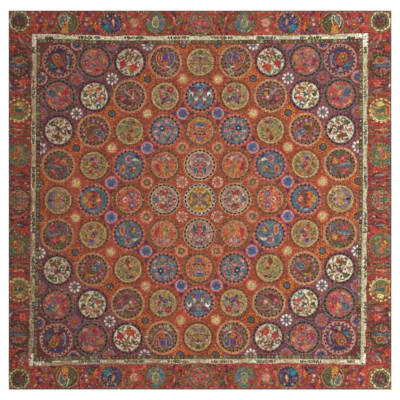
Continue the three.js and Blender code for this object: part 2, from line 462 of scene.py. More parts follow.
def red_eye_paisley(m):
    m.sprinkle("coral dusty_red mauve rose salmon scarlet olive", 50)
    m.drop("mauve", (-0.5, 0.26), 0.36, (0.2, -0.5), -0.2)
    m.drop("slate", (-0.54, 0.27), 0.24, (-0.1, 0.0), -0.1)
    m.oval("teal", -0.62, 0.3, 0.16, 0.13, 20)
    m.oval("navy", -0.66, 0.32, 0.08, 0.07)
    m.leaf("amber", (-0.1, 0.4), (0.22, -0.14), 0.2)
    m.leaf("sage", (0.0, 0.66), (0.4, 0.56), 0.26)
    m.leaf("olive", (-0.24, 0.6), (0.14, 0.5), 0.16)
    m.flower("scarlet", 0.5, 0.26, 0.28, eye="crimson", petals=6)
    m.flower("crimson", -0.26, 0.84, 0.16)
    m.flower("rose", 0.46, 0.7, 0.16)
    m.flower("coral", -0.58, -0.32, 0.22, eye="scarlet")
    m.leaf("magenta", (-0.06, -0.3), (0.34, -0.44), 0.24)
    m.flower("magenta", 0.46, -0.3, 0.2, eye="wine")
    m.leaf("coral", (0.1, -0.8), (0.6, -0.66), 0.2)
    m.leaf("leaf", (0.66, 0.0), (0.86, -0.24), 0.16)
    m.dots("pink", 0.08, (-0.84, 0.0), (0.66, 0.02), (-0.3, -0.7))
    m.arc("salmon", 0, 0, 0.84, 200, 260, 0.14)


def ivory_buds(m):
    m.sprinkle("rust olive tan brown sage salmon moss", 46, size=0.15)
    m.oval("rust", 0.28, 0.5, 0.16, 0.22, -20)
    m.oval("amber", 0.26, 0.42, 0.08, 0.12, -20)
    m.leaf("moss", (-0.4, 0.94), (-0.08, 0.78), 0.2)
    m.leaf("moss", (-0.86, 0.1), (-0.6, 0.22), 0.26)
    m.oval("moss", -0.7, 0.08, 0.14, 0.16)
    m.leaf("tan", (-0.56, 0.62), (-0.16, 0.4), 0.28)
    m.flower("salmon", -0.3, 0.4, 0.2, eye="coral")
    m.oval("teal", 0.02, 0.08, 0.16, 0.12, 20)
    m.oval("moss", 0.04, 0.02, 0.1, 0.06, 20)
    m.flower("coral", 0.46, -0.18, 0.26, eye="scarlet", petals=6)
    m.leaf("mauve", (-0.02, -0.46), (0.42, -0.24), 0.24)
    m.leaf("brown", (-0.3, -0.18), (-0.1, -0.5), 0.16)
    m.leaf("mustard", (-0.72, -0.52), (-0.3, -0.36), 0.28)
    m.leaf("olive", (-0.42, -0.84), (-0.16, -0.56), 0.24)
    m.leaf("blue", (0.14, -0.72), (0.54, -0.66), 0.22)
    m.leaf("pewter", (0.7, 0.2), (0.84, -0.14), 0.2)
    m.leaf("shell", (0.56, 0.5), (0.74, 0.1), 0.18)
    m.leaf("steel", (0.3, 0.86), (0.66, 0.62), 0.12)
    m.dots("rust", 0.06, (-0.6, 0.4), (-0.2, 0.1), (0.74, -0.36), (0.5, 0.14))
    m.dots("ivory", 0.07, (0.36, 0.16), (-0.1, 0.26), (0.24, -0.52), (-0.44, -0.06))


def vine_arch(m):
    m.sprinkle("plum olive mauve umber maroon moss tan", 50)
    m.leaf("maroon", (-0.6, -0.3), (0.2, -0.66), 0.5)
    m.leaf("umber", (-0.1, 0.56), (0.7, 0.6), 0.24)
    m.stroke("lilac", 0.09, (-0.84, 0.46), (-0.3, 0.44), 0.2)
    m.stroke("lilac", 0.12, (-0.4, 0.52), (0.06, 0.06), -0.16)
    m.stroke("pink", 0.07, (-0.1, 0.4), (0.66, 0.4), 0.36)
    m.arc("mauve", 0.34, 0.2, 0.46, 0, 110, 0.08)
    m.flower("crimson", -0.68, -0.1, 0.22, eye="rose")
    m.flower("rose", -0.5, -0.2, 0.16)
    m.flower("pink", 0.22, -0.1, 0.2, eye="ivory", petals=6)
    m.flower("amber", 0.32, 0.14, 0.16, eye="orange")
    m.flower("magenta", 0.56, -0.14, 0.2, eye="pink")
    m.leaf("plum", (0.5, -0.34), (0.8, -0.2), 0.2)
    m.dots("steel", 0.08, (0.82, -0.34), (-0.4, 0.72))
    m.dots("leaf", 0.07, (-0.86, 0.1), (0.86, 0.3), (-0.1, 0.9), (0.3, -0.86), (-0.66, 0.72))
    m.arc("rose", -0.1, -0.5, 0.3, 200, 350, 0.07)
    m.arc("mauve", 0.3, -0.56, 0.24, 20, 160, 0.06)


def gold_bouquet(m):
    m.sprinkle("wheat old_gold olive tan rose mauve sage", 50)
    m.leaf("moss", (-0.46, 0.64), (-0.1, 0.84), 0.28)
    m.leaf("teal", (-0.2, 0.8), (0.02, 0.56), 0.16)
    m.flower("crimson", 0.42, 0.54, 0.34, eye="rose", petals=6)
    m.leaf("dusty_red", (0.5, 0.34), (0.8, 0.2), 0.2)
    m.flower("rose", -0.18, 0.42, 0.28, eye="cream", petals=6)
    m.leaf("mauve", (-0.52, 0.26), (-0.3, 0.1), 0.2)
    m.leaf("teal", (-0.02, 0.1), (0.3, 0.26), 0.22)
    m.leaf("steel", (0.5, 0.12), (0.86, 0.16), 0.14)
    m.oval("slate", 0.1, -0.1, 0.2, 0.12, 30)
    m.flower("crimson", -0.36, -0.04, 0.2, eye="rust")
    m.flower("violet", -0.12, -0.32, 0.26, eye="magenta", petals=6)
    m.flower("purple", 0.24, -0.2, 0.22, eye="lilac")
    m.flower("slate", 0.56, -0.3, 0.22, eye="moss")
    m.leaf("purple", (-0.32, -0.66), (-0.12, -0.44), 0.26)
    m.dots("cream", 0.08, (0.45, -0.06), (0.62, -0.58), (-0.5, -0.16))
    m.leaf("amber", (0.1, -0.6), (0.46, -0.5), 0.2)
    m.leaf("olive", (-0.7, -0.5), (-0.44, -0.7), 0.14)


def blue_emblem(m):
    m.sprinkle("steel slate sage pewter blue mauve", 44)
    m.flower("sea", 0, 0.74, 0.26, eye="blue", petals=6)
    m.oval("purple", 0.56, 0.58, 0.2, 0.14, -40)
    m.leaf("crimson", (0.34, 0.6), (0.56, 0.16), 0.26)
    m.leaf("violet", (0.2, 0.7), (0.34, 0.2), 0.2)
    m.oval("ivory", 0.68, 0.14, 0.17, 0.2, 20)
    m.oval("brown", 0.7, 0.04, 0.08, 0.14, -20)
    m.leaf("orange", (0.0, 0.1), (0.26, 0.3), 0.14)
    m.flower("amber", 0, 0.18, 0.15, eye="coral", petals=4)
    m.oval("crimson", 0, -0.08, 0.1, 0.14)
    m.leaf("blue", (0.14, -0.04), (0.44, -0.16), 0.16)
    m.drop("cream", (0.33, -0.24), 0.12, (0.2, 0.0), 0.1)
    m.leaf("scarlet", (0.2, -0.4), (0.46, -0.52), 0.22)
    m.leaf("purple", (0.14, -0.6), (0.4, -0.72), 0.16)
    m.oval("blue", 0, -0.56, 0.14, 0.3, sides=6)
    m.dots("steel", 0.07, (0.84, -0.2), (0.7, -0.5))
    m.dots("ivory", 0.05, (0.8, 0.42), (0.2, 0.9), (0.0, 0.44))
    m.mirror()


def ivory_leaves(m):
    m.sprinkle("brown tan rust olive shell moss maroon", 46, size=0.15)
    m.oval("moss", -0.46, 0.56, 0.24, 0.2, 30)
    m.leaf("olive", (-0.6, 0.3), (-0.2, 0.5), 0.16)
    m.flower("tan", 0.16, 0.72, 0.26, eye="rust", petals=6)
    m.arc("cream", 0.16, 0.72, 0.14, 30, 330, 0.07)
    m.leaf("olive", (0.0, 0.44), (0.36, 0.5), 0.16)
    m.flower("plum", 0.0, 0.1, 0.26, eye="purple", petals=6)
    m.leaf("mauve", (-0.3, 0.1), (-0.02, -0.08), 0.2)
    m.leaf("brown", (0.1, 0), (0.36, 0.12), 0.16)
    m.leaf("black", (0.34, 0.02), (0.86, 0.06), 0.2, -0.14)
    m.leaf("wine", (0.6, 0.02), (0.9, -0.36), 0.26)
    m.arc("straw", 0.5, -0.22, 0.17, -120, 150, 0.08)
    m.dots("brown", 0.07, (0.5, -0.22))
    m.leaf("rust", (-0.56, -0.36), (0.42, -0.52), 0.34, -0.1)
    m.leaf("brown", (-0.5, -0.4), (0.2, -0.52), 0.12, -0.1)
    m.beads("cream", 0, -0.2, 0.62, 9, 0.06, 0.05, turn=0.5)
    m.arc("pink", -0.7, 0.1, 0.16, 60, 300, 0.08)
    m.arc("rose", -0.66, -0.26, 0.14, 90, 280, 0.07)
    m.dots("leaf", 0.08, (0.8, 0.37), (0.6, 0.6), (-0.86, -0.1))
    m.dots("moss", 0.06, (0.56, -0.6), (-0.24, 0.84), (-0.3, -0.7))


def crescent_paisley(m):
    m.sprinkle("moss umber plum olive maroon mauve", 50)
    m.arc("crimson", 0.14, 0.06, 0.5, -70, 85, 0.26)
    m.arc("rust", 0.0, -0.04, 0.5, 90, 230, 0.24)
    m.leaf("orange", (-0.5, 0.66), (-0.4, 0.1), 0.2)
    m.leaf("olive", (-0.3, 0.46), (0.26, 0.38), 0.22)
    m.oval("brown", -0.12, 0.16, 0.34, 0.24)
    m.leaf("mustard", (-0.36, 0.4), (0.1, 0.44), 0.1)
    m.oval("magenta", -0.05, 0.74, 0.24, 0.14)
    m.dots("lilac", 0.1, (-0.04, 0.72))
    m.dots("straw", 0.08, (0.3, 0.68))
    m.dots("lilac", 0.09, (0.56, 0.54), (0.74, 0.3), (-0.74, 0.06), (-0.74, -0.28), (-0.6, -0.62))
    m.drop("slate", (0.26, -0.14), 0.24, (0.74, -0.4), 0.2, edge="grey", rim=0.05)
    m.oval("teal", 0.22, -0.14, 0.16, 0.13)
    m.dots("ivory", 0.05, (0.2, -0.12))
    m.leaf("mauve", (0.4, -0.3), (0.66, -0.64), 0.22)
    m.flower("crimson", -0.26, -0.56, 0.2, eye="rose")
    m.flower("scarlet", 0.12, -0.68, 0.18, eye="coral")
    m.flower("lilac", 0.42, -0.62, 0.14, eye="violet")
    m.dots("rose", 0.07, (-0.1, -0.36), (0.84, -0.06), (-0.4, 0.84))


def gold_thicket(m):
    m.sprinkle("wheat old_gold olive tan sage mustard bronze", 54)
    m.flower("purple", 0.02, 0.64, 0.22, eye="pink", petals=6)
    m.oval("plum", 0.32, 0.66, 0.16, 0.12)
    m.leaf("leaf", (-0.66, 0.72), (-0.3, 0.62), 0.22)
    m.leaf("leaf", (-0.36, 0.3), (0.02, 0.28), 0.2)
    m.leaf("sage", (-0.62, 0.42), (-0.2, 0.5), 0.16)
    m.leaf("slate", (-0.9, 0.44), (-0.7, 0.1), 0.2)
    m.leaf("amber", (0.24, 0.34), (0.84, 0.3), 0.2)
    m.oval("brown", 0.18, 0.0, 0.2, 0.14, 10)
    m.leaf("rust", (0.1, 0.1), (0.34, -0.1), 0.14)
    m.leaf("leaf", (0.5, 0.06), (0.92, -0.04), 0.24)
    m.oval("rust", -0.06, -0.56, 0.22, 0.32)
    m.oval("brown", -0.1, -0.62, 0.12, 0.2)
    m.flower("salmon", 0.24, -0.34, 0.2, eye="coral")
    m.leaf("salmon", (-0.46, -0.1), (-0.2, -0.36), 0.22)
    m.leaf("olive", (-0.74, -0.36), (-0.5, -0.1), 0.2)
    m.leaf("mustard", (0.44, -0.44), (0.66, -0.14), 0.2)
    m.leaf("moss", (0.5, -0.5), (0.74, -0.4), 0.16)
    m.leaf("olive", (0.2, -0.8), (0.46, -0.66), 0.18)
    m.dots("rose", 0.06, (-0.56, -0.5), (0.6, 0.56), (-0.16, -0.16))


def teal_garden(m):
    m.sprinkle("steel teal pewter lilac slate sage mauve", 52)
    petals = (
        (-0.5, 0.46, 60), (0.12, 0.72, 80), (0.62, 0.5, 100), (0.73, 0, 70), (0.5, -0.52, 60),
        (-0.66, -0.06, 0), (-0.62, -0.54, 130),
    )
    for x, y, turn in petals:
        m.oval("pink", x, y, 0.19, 0.12, turn)
    m.oval("amber", -0.5, 0.46, 0.1, 0.06, 60)
    m.oval("crimson", 0.62, 0.5, 0.11, 0.06, 100)
    m.oval("crimson", 0.5, -0.52, 0.11, 0.06, 60)
    m.oval("scarlet", 0.73, 0, 0.1, 0.06, 70)
    m.flower("coral", 0.2, 0.14, 0.24, eye="crimson", petals=6)
    m.flower("navy", -0.22, 0.18, 0.3, eye="sea", petals=6)
    m.dots("ivory", 0.06, (-0.22, 0.18), (-0.66, -0.06))
    m.arc("coral", 0.0, 0.06, 0.34, 200, 320, 0.14)
    m.leaf("salmon", (-0.2, -0.2), (0.16, -0.3), 0.16)
    m.flower("mustard", -0.1, -0.66, 0.16, eye="leaf")
    m.leaf("purple", (0.16, -0.8), (0.38, -0.5), 0.26)
    m.leaf("leaf", (0.24, 0.84), (0.46, 0.7), 0.2)
    m.leaf("teal", (0.3, 0.4), (0.5, 0.2), 0.2)
    m.dots("lilac", 0.07, (-0.3, -0.4), (0.36, -0.24), (-0.2, 0.6), (0.4, 0.0))


def peach_emblem(m):
    m.sprinkle("salmon coral amber peach rust tan", 46)
    m.add("mustard", [(-0.42, 0.7), (0.42, 0.7), (0.34, 0.86), (-0.34, 0.86)])
    m.add("olive", [(-0.38, 0.6), (0.38, 0.6), (0.42, 0.7), (-0.42, 0.7)])
    m.add("blue", [(-0.26, 0.34), (0.26, 0.34), (0.36, 0.6), (-0.36, 0.6)])
    m.dots("lilac", 0.1, (0, 0.26), (0.22, 0.28))
    m.dots("rose", 0.07, (0.1, 0.18), (0.34, 0.14))
    m.flower("olive", 0.52, 0.22, 0.18, eye="mustard")
    m.flower("scarlet", 0.76, 0.28, 0.14)
    m.leaf("mauve", (0.44, 0.5), (0.72, 0.5), 0.2)
    m.oval("tan", 0, -0.04, 0.34, 0.16, sides=8)
    m.dots("brown", 0.06, (0.4, 0.02), (0.4, -0.16), (0.16, -0.1))
    m.oval("black", 0, -0.32, 0.11, 0.08)
    m.leaf("purple", (0.16, -0.3), (0.6, -0.34), 0.16)
    m.dots("coral", 0.09, (0.34, -0.42), (0.7, -0.1), (0.56, -0.52))
    m.add("mauve", [(-0.32, -0.5), (0.32, -0.5), (0.2, -0.84), (-0.2, -0.84)])
    m.dots("violet", 0.06, (0.2, -0.56), (0.1, -0.74))
    m.leaf("amber", (0.34, -0.8), (0.62, -0.6), 0.16)
    m.mirror()


def crimson_stream(m):
    m.sprinkle("moss umber plum olive mauve brown", 50)
    m.leaf("moss", (-0.5, 0.84), (0.6, 0.66), 0.3, 0.2)
    m.flower("crimson", -0.2, 0.5, 0.26, eye="rose", petals=6)
    m.flower("scarlet", -0.02, 0.24, 0.26, eye="crimson", petals=6)
    m.leaf("rose", (-0.4, 0.3), (0.0, 0.4), 0.2)
    m.flower("amber", 0.4, 0.26, 0.26, eye="salmon", petals=6)
    m.leaf("peach", (0.3, 0.1), (0.6, 0.02), 0.2)
    m.leaf("steel", (-0.92, -0.02), (0.3, -0.2), 0.26, 0.14)
    m.stroke("grey", 0.05, (-0.8, 0.06), (0.24, -0.14), 0.14)
    m.leaf("slate", (-0.7, -0.2), (0.1, -0.4), 0.24)
    m.flower("crimson", -0.36, -0.48, 0.28, eye="magenta", petals=6)
    m.leaf("rose", (-0.6, -0.3), (-0.2, -0.62), 0.2)
    m.arc("slate", 0.26, -0.44, 0.3, -120, 80, 0.2)
    m.leaf("plum", (0.0, -0.6), (0.3, -0.7), 0.26)
    m.stroke("lilac", 0.06, (0.7, -0.2), (0.72, -0.7), 0.14)
    m.leaf("leaf", (-0.92, -0.3), (-0.7, -0.5), 0.2)
    m.leaf("leaf", (-0.1, 0.94), (0.3, 0.9), 0.16)
    m.leaf("plum", (-0.8, 0.5), (-0.5, 0.3), 0.2)
    m.dots("olive", 0.07, (0.76, 0.4), (0.84, 0.0), (-0.66, 0.6))


def gold_mauve_bloom(m):
    m.sprinkle("wheat old_gold olive mustard tan mauve", 52)
    m.oval("mauve", -0.1, 0.6, 0.3, 0.24, 10)
    m.flower("violet", -0.16, 0.5, 0.2, eye="navy")
    m.arc("pink", -0.14, 0.56, 0.2, 20, 200, 0.07)
    m.leaf("dusty_red", (-0.7, 0.3), (-0.46, 0.6), 0.26)
    m.flower("pink", 0.2, 0.38, 0.18, eye="rose")
    m.flower("crimson", 0.0, 0.1, 0.26, eye="rose", petals=6)
    m.arc("pink", 0.06, 0.02, 0.3, -60, 90, 0.07)
    m.oval("slate", 0.2, -0.16, 0.22, 0.18, 30)
    m.leaf("plum", (-0.1, -0.06), (0.2, -0.36), 0.24)
    m.leaf("brown", (-0.7, 0.2), (-0.4, -0.06), 0.22)
    m.leaf("amber", (-0.5, 0.2), (-0.36, -0.14), 0.16)
    m.flower("rust", -0.26, -0.56, 0.26, eye="crimson", petals=6)
    m.flower("salmon", 0.0, -0.36, 0.16)
    m.flower("orange", 0.4, -0.62, 0.2, eye="rust")
    m.leaf("peach", (0.2, 0.8), (0.44, 0.66), 0.2)
    m.leaf("olive", (0.5, 0.1), (0.84, 0.4), 0.18)
    m.leaf("olive", (0.5, 0.56), (0.74, 0.6), 0.14)
    m.leaf("moss", (0.6, -0.1), (0.84, -0.16), 0.14)
    m.leaf("olive", (0.5, -0.3), (0.74, -0.4), 0.12)


def blue_lake(m):
    m.sprinkle("blue steel teal slate pewter", 44)
    m.leaf("teal", (-0.8, 0.3), (-0.3, 0.6), 0.34)
    m.leaf("violet", (0.26, 0.84), (0.7, 0.66), 0.2)
    m.leaf("navy", (0.4, 0.8), (0.8, 0.4), 0.2)
    m.arc("pink", 0.0, 0.46, 0.24, 40, 330, 0.15)
    m.arc("crimson", 0.02, 0.46, 0.14, 60, 330, 0.12)
    m.leaf("cream", (0.2, 0.38), (0.8, 0.26), 0.24, 0.3)
    m.arc("grey", 0.44, 0.06, 0.42, -20, 60, 0.1)
    m.leaf("straw", (0.3, 0.4), (0.66, 0.4), 0.12, 0.2)
    m.oval("pink", -0.48, -0.3, 0.2, 0.4)
    m.oval("orange", -0.48, -0.3, 0.14, 0.33)
    m.oval("rust", -0.5, -0.34, 0.07, 0.2)
    m.leaf("amber", (0.16, -0.2), (0.66, -0.5), 0.38)
    m.leaf("crimson", (0.14, -0.24), (0.34, -0.54), 0.2)
    m.leaf("leaf", (0.4, -0.3), (0.66, -0.48), 0.14)
    m.leaf("leaf", (-0.24, -0.6), (0.06, -0.8), 0.2)
    m.leaf("purple", (0.0, -0.1), (0.2, -0.3), 0.14)
    m.leaf("slate", (0.1, 0.1), (0.5, 0.1), 0.24)
    m.dots("lilac", 0.07, (-0.8, 0.0), (-0.2, 0.1), (0.3, -0.72), (-0.7, -0.62))


def peach_garden(m):
    m.sprinkle("coral salmon peach tan rose rust", 50)
    m.arc("crimson", 0.0, 0.0, 0.66, 150, 236, 0.3)
    m.arc("scarlet", 0.1, 0.0, 0.6, 166, 226, 0.12)
    m.leaf("orange", (-0.5, 0.2), (-0.1, -0.7), 0.26, 0.2)
    m.leaf("amber", (-0.2, -0.3), (0.1, -0.8), 0.2)
    m.flower("lilac", -0.06, 0.52, 0.2, eye="violet")
    m.flower("mauve", -0.34, 0.66, 0.2, eye="pewter")
    m.flower("pink", -0.5, 0.44, 0.16, eye="rose")
    m.flower("cream", 0.3, 0.54, 0.16, eye="pink")
    m.leaf("shell", (0.0, 0.36), (0.06, 0.0), 0.2)
    m.leaf("lilac", (0.06, 0.8), (0.2, 0.6), 0.16)
    m.flower("sage", 0.22, -0.24, 0.24, eye="olive", petals=6)
    m.leaf("olive", (0.1, -0.5), (0.3, -0.7), 0.18)
    m.flower("orange", 0.66, -0.02, 0.26, eye="coral", petals=6)
    m.leaf("coral", (0.44, 0.1), (0.8, 0.26), 0.2)
    m.leaf("moss", (0.56, 0.5), (0.7, 0.3), 0.18)
    m.leaf("crimson", (0.4, 0.7), (0.6, 0.6), 0.16)
    m.dots("mustard", 0.07, (0.4, -0.5), (-0.1, -0.16), (0.7, -0.36))


def pink_emblem(m):
    m.sprinkle("pink crimson blush mauve lilac cream rose", 46)
    m.add("mauve", [(-0.3, 0.56), (0.3, 0.56), (0.42, 0.9), (-0.42, 0.9)])
    m.dots("plum", 0.08, (0.16, 0.8), (0.24, 0.64), (0, 0.72))
    m.leaf("sage", (0.1, 0.36), (0.46, 0.42), 0.16)
    m.dots("cream", 0.06, (0, 0.44), (0.2, 0.5))
    m.arc("amber", 0, 0.04, 0.18, 10, 90, 0.08)
    m.leaf("olive", (0.02, 0.2), (0.22, 0.22), 0.1)
    m.leaf("magenta", (0.02, 0.12), (0.5, -0.2), 0.22, -0.1)
    m.leaf("violet", (0.24, 0.2), (0.5, 0.1), 0.14)
    m.stroke("pink", 0.05, (0.14, 0.16), (0.56, -0.1))
    m.flower("cream", 0.72, 0.16, 0.16, eye="mustard", petals=6)
    m.oval("teal", 0.4, -0.42, 0.15, 0.28, 12)
    m.leaf("steel", (0.3, -0.16), (0.6, -0.3), 0.14)
    m.leaf("coral", (0, -0.02), (0.04, -0.5), 0.24, 0)
    m.flower("scarlet", 0, -0.24, 0.17, eye="coral")
    m.leaf("purple", (0.12, -0.4), (0.2, -0.76), 0.1)
    m.oval("tan", 0, -0.76, 0.16, 0.2)
    m.dots("maroon", 0.06, (0.62, 0.62), (0.84, -0.1), (0.7, 0.4))
    m.dots("rose", 0.08, (0.66, -0.36), (0.5, -0.76), (0.52, 0.74))
    m.arc("lilac", 0, 0, 0.86, -60, -10, 0.07)
    m.mirror()


def half_moon(m):
    m.sprinkle("tan wheat salmon old_gold bronze", 44)
    m.arc("mauve", 0.06, 0, 0.72, 78, 282, 0.36)
    m.arc("slate", 0.02, 0, 0.84, 110, 250, 0.12)
    m.leaf("navy", (-0.9, 0.0), (-0.4, 0.0), 0.24, 0)
    m.arc("lilac", 0.16, 0, 0.6, 100, 180, 0.06)
    m.dots("mustard", 0.1, (0, 0.46), (-0.16, 0.2))
    m.leaf("orange", (-0.16, 0.06), (0.3, 0.08), 0.2)
    m.flower("amber", 0.06, 0.0, 0.16, eye="scarlet")
    m.flower("lilac", 0.36, 0.24, 0.2, eye="pink", petals=6)
    m.flower("magenta", 0.46, 0, 0.16, eye="crimson")
    m.leaf("maroon", (0.6, 0.0), (0.84, 0.0), 0.14, 0)
    m.leaf("olive", (0.56, 0.3), (0.86, 0.24), 0.14)
    m.leaf("moss", (0.5, 0.56), (0.7, 0.5), 0.14)
    m.leaf("olive", (0.7, 0.1), (0.9, 0.12), 0.1)
    m.dots("brown", 0.06, (0.66, 0.2), (0.3, 0.7), (0.5, 0.42))
    m.leaf("straw", (0.2, 0.8), (0.56, 0.7), 0.16)
    m.mirror(across=False)


def blue_band(m):
    m.arc("sea", 0, 0, 0.86, -50, 50, 0.24)
    m.arc("steel", 0, 0, 0.86, 60, 170, 0.2)
    m.oval("brick", 0, 0, 0.66, 0.66, sides=14)
    m.arc("purple", 0, 0, 0.66, 60, 165, 0.12)
    m.leaf("orange", (-0.6, 0.3), (-0.1, 0.5), 0.34)
    m.leaf("coral", (-0.5, 0.1), (-0.14, 0.24), 0.2)
    m.oval("mustard", -0.66, 0, 0.16, 0.3)
    m.oval("amber", -0.52, 0, 0.1, 0.14)
    m.oval("umber", 0.0, 0.3, 0.12, 0.13, sides=6)
    m.oval("wine", 0.02, 0.06, 0.1, 0.06, sides=6)
    m.leaf("crimson", (0.0, 0.54), (0.3, 0.6), 0.2)
    m.leaf("salmon", (0.14, 0.08), (0.6, 0.02), 0.2)
    m.leaf("coral", (0.2, 0.26), (0.5, 0.1), 0.16)
    m.flower("slate", 0.44, 0.46, 0.18, eye="lilac")
    m.leaf("scarlet", (0.5, 0.2), (0.66, 0.1), 0.1)
    m.leaf("lilac", (-0.2, 0.74), (0.1, 0.84), 0.2)
    m.leaf("violet", (-0.6, 0.7), (-0.3, 0.76), 0.16)
    m.leaf("leaf", (0.4, 0.8), (0.6, 0.66), 0.14)
    m.dots("mauve", 0.06, (0.04, 0.18), (-0.3, 0.6))
    m.mirror(across=False)


def twin_wheels(m):
    m.sprinkle("coral salmon rose peach rust", 48)
    m.beads("brick", -0.72, 0, 0.13, 7, 0.06, 0.05)
    m.leaf("brick", (-0.9, 0.3), (-0.6, 0.5), 0.2)
    m.flower("mauve", 0.24, 0.44, 0.3, eye="lilac", petals=8, depth=0.8)
    m.arc("purple", 0.24, 0.44, 0.22, 0, 340, 0.08)
    m.dots("lilac", 0.09, (0.24, 0.44))
    m.leaf("orange", (-0.4, 0.2), (-0.1, 0.56), 0.24)
    m.leaf("pink", (-0.5, 0.14), (-0.34, 0.0), 0.2)
    m.dots("ivory", 0.07, (-0.42, 0.0), (-0.3, 0.16))
    m.leaf("magenta", (0.1, 0.06), (0.4, 0.08), 0.14)
    m.dots("lilac", 0.07, (0.2, 0.0), (0.04, 0.16))
    m.flower("mustard", 0.74, 0, 0.14, eye="straw", petals=4)
    m.leaf("scarlet", (-0.3, 0.84), (0.1, 0.88), 0.18)
    m.leaf("rose", (0.5, 0.6), (0.7, 0.36), 0.2)
    m.leaf("amber", (-0.4, 0.62), (-0.2, 0.7), 0.14)
    m.leaf("salmon", (0.56, 0.24), (0.84, 0.2), 0.12)
    m.mirror(across=False)


def star_and_fan(m):
    m.sprinkle("pink crimson blush plum lilac cream salmon", 46)
    m.flower("brick", -0.12, 0.48, 0.34, eye="crimson", petals=7)
    m.leaf("maroon", (-0.4, 0.6), (-0.1, 0.76), 0.16)
    m.leaf("crimson", (0.06, 0.6), (0.24, 0.42), 0.16)
    m.flower("cream", -0.12, 0.24, 0.15, eye="amber")
    m.flower("sea", -0.7, 0.0, 0.26, eye="blue", petals=6)
    m.leaf("pewter", (0.3, 0.0), (0.8, 0.0), 0.44, 0)
    m.leaf("mauve", (0.34, 0.1), (0.7, 0.16), 0.16)
    m.leaf("purple", (0.68, 0.0), (0.94, 0.0), 0.18, 0)
    m.dots("cream", 0.09, (0.12, 0.0), (-0.36, 0))
    m.dots("amber", 0.06, (-0.1, 0.06), (0.24, 0.16))
    m.leaf("moss", (0.3, 0.5), (0.56, 0.6), 0.12)
    m.leaf("slate", (0.46, 0.4), (0.7, 0.36), 0.12)
    m.leaf("plum", (-0.6, 0.5), (-0.46, 0.4), 0.12)
    m.stroke("cream", 0.05, (0.3, 0.3), (0.7, 0.3), 0.2)
    m.dots("rose", 0.07, (-0.44, 0.3), (0.2, 0.8), (-0.76, 0.36))
    m.mirror(across=False)


def centre_cross(m):
    m.sprinkle("mustard olive sage amber bronze tan", 44)
    m.leaf("amber", (-0.44, 0.74), (0.44, 0.74), 0.3, 0.2)
    m.leaf("orange", (-0.3, 0.8), (0.3, 0.8), 0.16, 0.2)
    m.leaf("rust", (0.82, -0.3), (0.82, 0.3), 0.2, -0.2)
    m.leaf("salmon", (0.66, -0.24), (0.66, 0.24), 0.22, -0.2)
    m.leaf("mauve", (0.1, 0.1), (0.68, 0.62), 0.34, 0)
    m.leaf("brown", (0.2, 0.2), (0.56, 0.5), 0.14, 0)
    m.leaf("olive", (0.56, 0.56), (0.84, 0.5), 0.2)
    m.leaf("leaf", (0.7, 0.34), (0.86, 0.5), 0.16)
    m.dots("straw", 0.1, (0.44, 0.64), (0.2, 0.6))
    m.leaf("salmon", (0, 0.16), (0, 0.58), 0.26, 0)
    m.leaf("crimson", (0, 0.3), (0, 0.56), 0.1, 0)
    m.leaf("tan", (0.2, 0), (0.64, 0), 0.22, 0)
    m.leaf("leaf", (0, 0), (0, 0.26), 0.12, 0)
    m.leaf("mustard", (0, 0), (0.3, 0), 0.12, 0)
    m.oval("steel", 0, 0, 0.07)
    m.mirror()
    m.mirror(across=False)


MOTIFS = {
    (4, 4): corner_paisley, (3, 4): salmon_garden, (2, 4): white_garden, (1, 4): twin_paisleys,
    (0, 4): gold_emblem, (4, 3): red_eye_paisley, (3, 3): ivory_buds, (2, 3): vine_arch,
    (1, 3): gold_bouquet, (0, 3): blue_emblem, (4, 2): ivory_leaves, (3, 2): crescent_paisley,
    (2, 2): gold_thicket, (1, 2): teal_garden, (0, 2): peach_emblem, (4, 1): crimson_stream,
    (3, 1): gold_mauve_bloom, (2, 1): blue_lake, (1, 1): peach_garden, (0, 1): pink_emblem,
    (4, 0): half_moon, (3, 0): blue_band, (2, 0): twin_wheels, (1, 0): star_and_fan,
    (0, 0): centre_cross,
}

